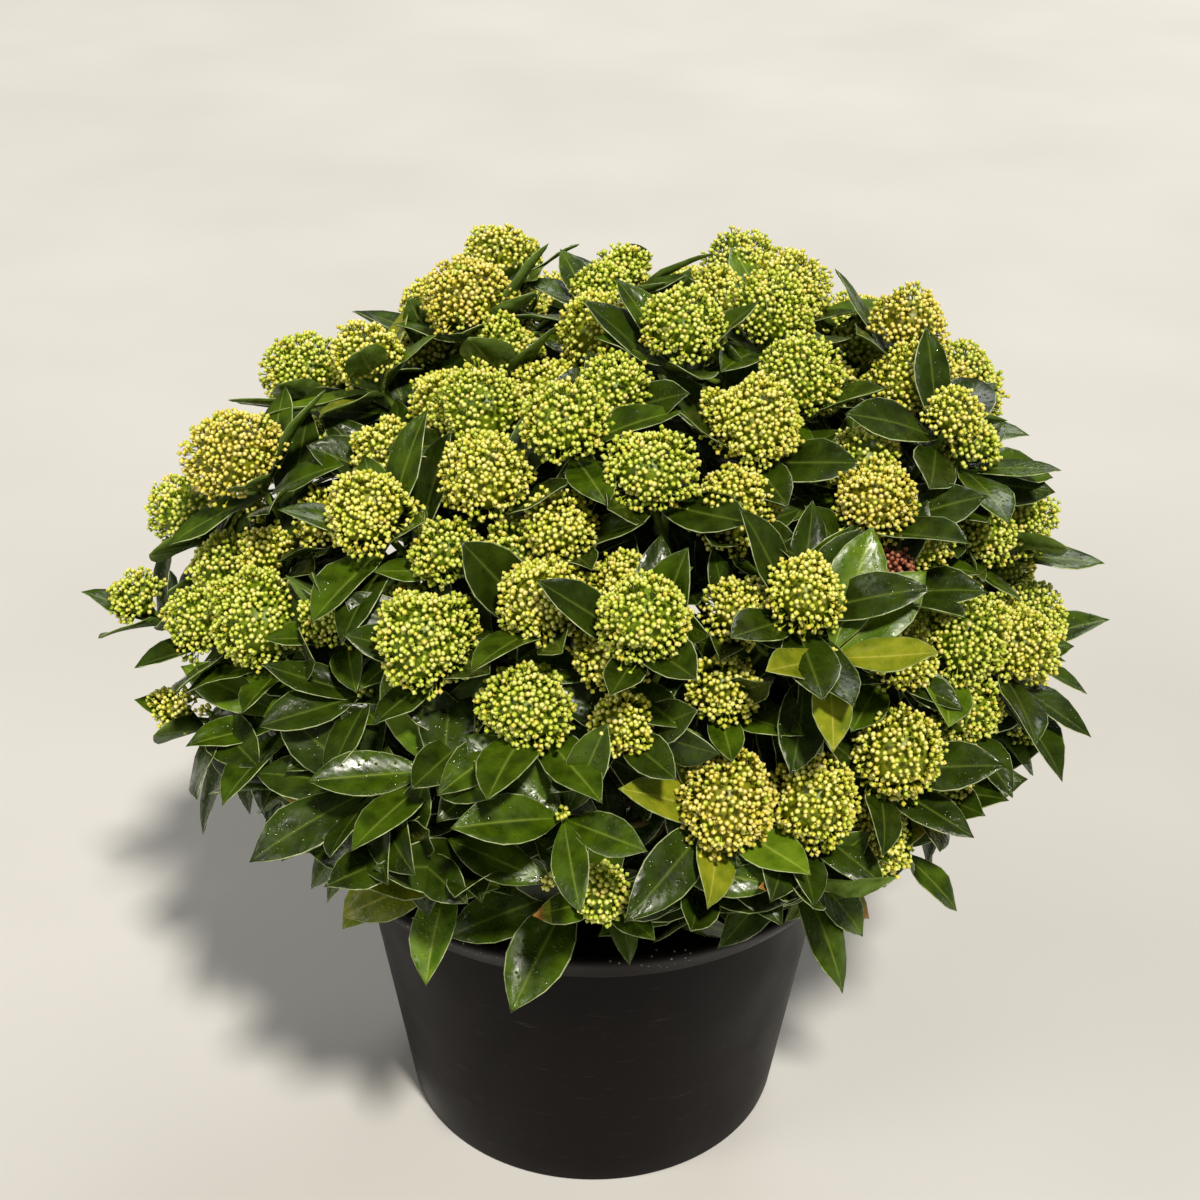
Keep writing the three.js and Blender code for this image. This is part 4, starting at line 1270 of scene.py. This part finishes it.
def potBody():
    bm = bmesh.new()
    verts = [bm.verts.new((radius, 0, height)) for radius, height in potProfile()]
    edges = [bm.edges.new(pair) for pair in zip(verts, verts[1:])]
    bmesh.ops.spin(bm, geom=verts + edges, cent=(0, 0, 0), axis=(0, 0, 1), angle=2 * math.pi,
                   steps=pot["sides"], use_merge=True, use_duplicate=False)
    bmesh.ops.remove_doubles(bm, verts=bm.verts, dist=1e-6)
    return bpy.data.objects.new("pot_body", meshFrom(bm, "pot"))


def drills():  # a cutter through each drainage hole
    bm = bmesh.new()
    for hole in range(drain["count"]):
        turn = (hole + 0.5) / drain["count"] * 2 * math.pi
        middle = Vector((drain["ring"] * math.cos(turn), drain["ring"] * math.sin(turn), pot["floor"] / 2))
        bmesh.ops.create_cone(bm, cap_ends=True, segments=32, depth=4 * pot["floor"],
                              radius1=drain["radius"], radius2=drain["radius"],
                              matrix=Matrix.Translation(middle))
    return bpy.data.objects.new("drills", meshFrom(bm, "drills"))


def makePot():
    body, cutter = potBody(), drills()
    for one in (body, cutter):
        bpy.context.scene.collection.objects.link(one)
    cut = body.modifiers.new("holes", "BOOLEAN")
    cut.operation = "DIFFERENCE"
    cut.solver = "EXACT"
    cut.object = cutter
    evaluated = body.evaluated_get(bpy.context.evaluated_depsgraph_get())
    drilled = bpy.data.meshes.new_from_object(evaluated)
    bpy.data.objects.remove(body)
    bpy.data.objects.remove(cutter)
    drilled.materials.clear()
    drilled.set_sharp_from_angle(angle=math.radians(40))
    finishPiece("pot_shell", drilled, [potPlastic("black polypropylene, moulded")], "pot_plastic", "pot")


def insideRadius(level):  # of the pot at a level, less the air round the compost
    slope = (pot["bodyRadius"] - pot["baseRadius"]) / (pot["height"] - pot["rimDrop"] - pot["floor"])
    return pot["baseRadius"] - pot["wall"] + slope * (level - pot["floor"]) - soil["air"]


def makeSoil():
    bm = bmesh.new()
    bmesh.ops.create_uvsphere(bm, u_segments=soil["around"], v_segments=soil["rows"], radius=1)
    bottom = pot["floor"] + soil["airBelow"]
    brim = soil["height"] - soil["edge"]
    for vert in bm.verts:
        flat = Vector((vert.co.x, vert.co.y, 0))
        polar = math.acos(max(-1, min(1, vert.co.z))) / math.pi
        way = flat.normalized() if flat.length > 1e-6 else Vector((0, 0, 0))
        if polar <= 0.5:  # the top half lies out flat
            share = polar / 0.5
            place = way * insideRadius(brim) * share
            level = mix(soil["height"], brim, max(0, share - soil["even"]) / (1 - soil["even"]))
            crumbs = soil["crumbHeight"] * noise.noise(place / soil["crumb"])
            rough = soil["rough"] * (noise.noise(place / soil["clod"]) + crumbs)
            vert.co = place + up * (level + rough * min(1, (1 - share) * soil["fade"]))
        else:  # and the lower half lines the pot, with its last tenth closing over the floor
            share = min(1, (polar - 0.5) / 0.4)
            level = mix(brim, bottom, share)
            closing = 1 - max(0, polar - 0.9) / 0.1
            vert.co = way * insideRadius(level) * closing + up * level
    skin = compostSkin("damp peat compost", "#1a110b", "#3c2a1c")
    finishPiece("compost", meshFrom(bm, "compost"), [skin], "soil", "potting_soil")


chips = {
    "count": 420,
    "spread": (0.03, 0.94),  # over this share of the compost's area, and how far from the wall
    "inset": 0.97,
    "sunk": 1.2 * mm,
    "length": (2, 5.5),  # half of it, in millimetres
    "width": (0.4, 0.8),  # as a share of the length
    "height": (0.25, 0.5),
    "tilt": 0.4,
}


def makeChips():  # crumbs of bark lying on the compost
    bm = bmesh.new()
    for i in range(chips["count"]):
        share = math.sqrt(between(*chips["spread"], i, "chipPlace"))
        radius = share * insideRadius(soil["height"]) * chips["inset"]
        azimuth = i * goldenAngle
        level = soil["height"] - chips["sunk"]
        place = Vector((radius * math.cos(azimuth), radius * math.sin(azimuth), level))
        size = between(*chips["length"], i, "chipLength") * mm
        width = size * between(*chips["width"], i, "chipWidth")
        height = size * between(*chips["height"], i, "chipHeight")
        chip = bmesh.ops.create_icosphere(bm, subdivisions=1, radius=1)["verts"]
        bmesh.ops.scale(bm, vec=(size, width, height), verts=chip)
        turn = Matrix.Rotation(between(0, 6.28, i, "chipTurn"), 3, "Z")
        tilt = Matrix.Rotation(between(-chips["tilt"], chips["tilt"], i, "chipTilt"), 3, "X")
        bmesh.ops.rotate(bm, cent=(0, 0, 0), matrix=turn @ tilt, verts=chip)
        bmesh.ops.translate(bm, vec=place, verts=chip)
    skin = compostSkin("composted bark chip", "#2a1a10", "#5e4430")
    finishPiece("bark_chips", meshFrom(bm, "chips", smooth=False), [skin], "soil")


makePot()
makeSoil()
makeChips()


def makeFloor():
    bm = bmesh.new()
    bmesh.ops.create_grid(bm, x_segments=1, y_segments=1, size=6)
    floor = bpy.data.objects.new("floor", meshFrom(bm, "floor"))
    bpy.context.scene.collection.objects.link(floor)
    material, tree, shader, place = startMaterial("pale matt floor", {"Roughness": 0.9})
    cloud = addNode(tree, "TexNoise", {"Scale": 3.0}, {"Vector": place})
    colour = addNode(tree, "ValToRGB", {"stops": [(0.3, "#c6c5c1"), (0.7, "#cecdc9")]}, {"Fac": cloud})
    tree.links.new(colour.outputs[0], shader.inputs["Base Color"])
    floor.data.materials.append(material)
    floor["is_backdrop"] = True


lights = [
    {"name": "key", "kind": "SUN", "place": (0.8, -2.4, 4.0), "size": math.radians(6), "power": 3.6,
     "colour": "#fff8ee"},
    {"name": "fill", "kind": "AREA", "place": (-2.9, -1.6, 2.6), "size": 1.4, "power": 38,
     "colour": "#fbf8f0"},
    {"name": "rim", "kind": "AREA", "place": (1.2, 3.2, 3.2), "size": 1.8, "power": 50,
     "colour": "#ffffff"},
]
aim = Vector((0, 0, 0.28))
sky = {"colour": "#ebeae4", "strength": 0.13}


def addLight(lamp):
    light = bpy.data.lights.new(lamp["name"], lamp["kind"])
    if lamp["kind"] == "SUN":
        light.angle = lamp["size"]
    else:
        light.size = lamp["size"]
    light.energy = lamp["power"]
    light.color = linear(lamp["colour"])[:3]
    made = bpy.data.objects.new(lamp["name"], light)
    bpy.context.scene.collection.objects.link(made)
    made.location = lamp["place"]
    made.rotation_euler = (aim - made.location).to_track_quat("-Z", "Y").to_euler()


def makeSky():
    world = bpy.data.worlds.new("studio")
    world.use_nodes = True
    background = world.node_tree.nodes["Background"]
    background.inputs["Color"].default_value = linear(sky["colour"])
    background.inputs["Strength"].default_value = sky["strength"]
    bpy.context.scene.world = world


view = {
    "place": (0.002, -0.911, 0.822),
    "pitch": 30,  # degrees down from level
    "roll": 0.5,
    "focal": 2107.3,  # in pixels of a picture 1200 wide
    "width": 1200,
}


def makeCamera():
    data = bpy.data.cameras.new("camera")
    data.sensor_width = 36
    data.lens = view["focal"] / view["width"] * data.sensor_width
    camera = bpy.data.objects.new("camera", data)
    bpy.context.scene.collection.objects.link(camera)
    pitch = Matrix.Rotation(math.radians(90 - view["pitch"]), 4, "X")
    roll = Matrix.Rotation(math.radians(view["roll"]), 4, "Z")
    camera.matrix_world = Matrix.Translation(view["place"]) @ pitch @ roll
    bpy.context.scene.camera = camera


makeFloor()
for lamp in lights:
    addLight(lamp)
makeSky()
makeCamera()
bpy.context.scene.view_settings.view_transform = "Standard"
print("floor, lights, sky and camera are set")

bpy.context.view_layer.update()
faces = [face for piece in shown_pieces() for face in piece.data.polygons]
print("triangles in all", sum(len(face.vertices) - 2 for face in faces))
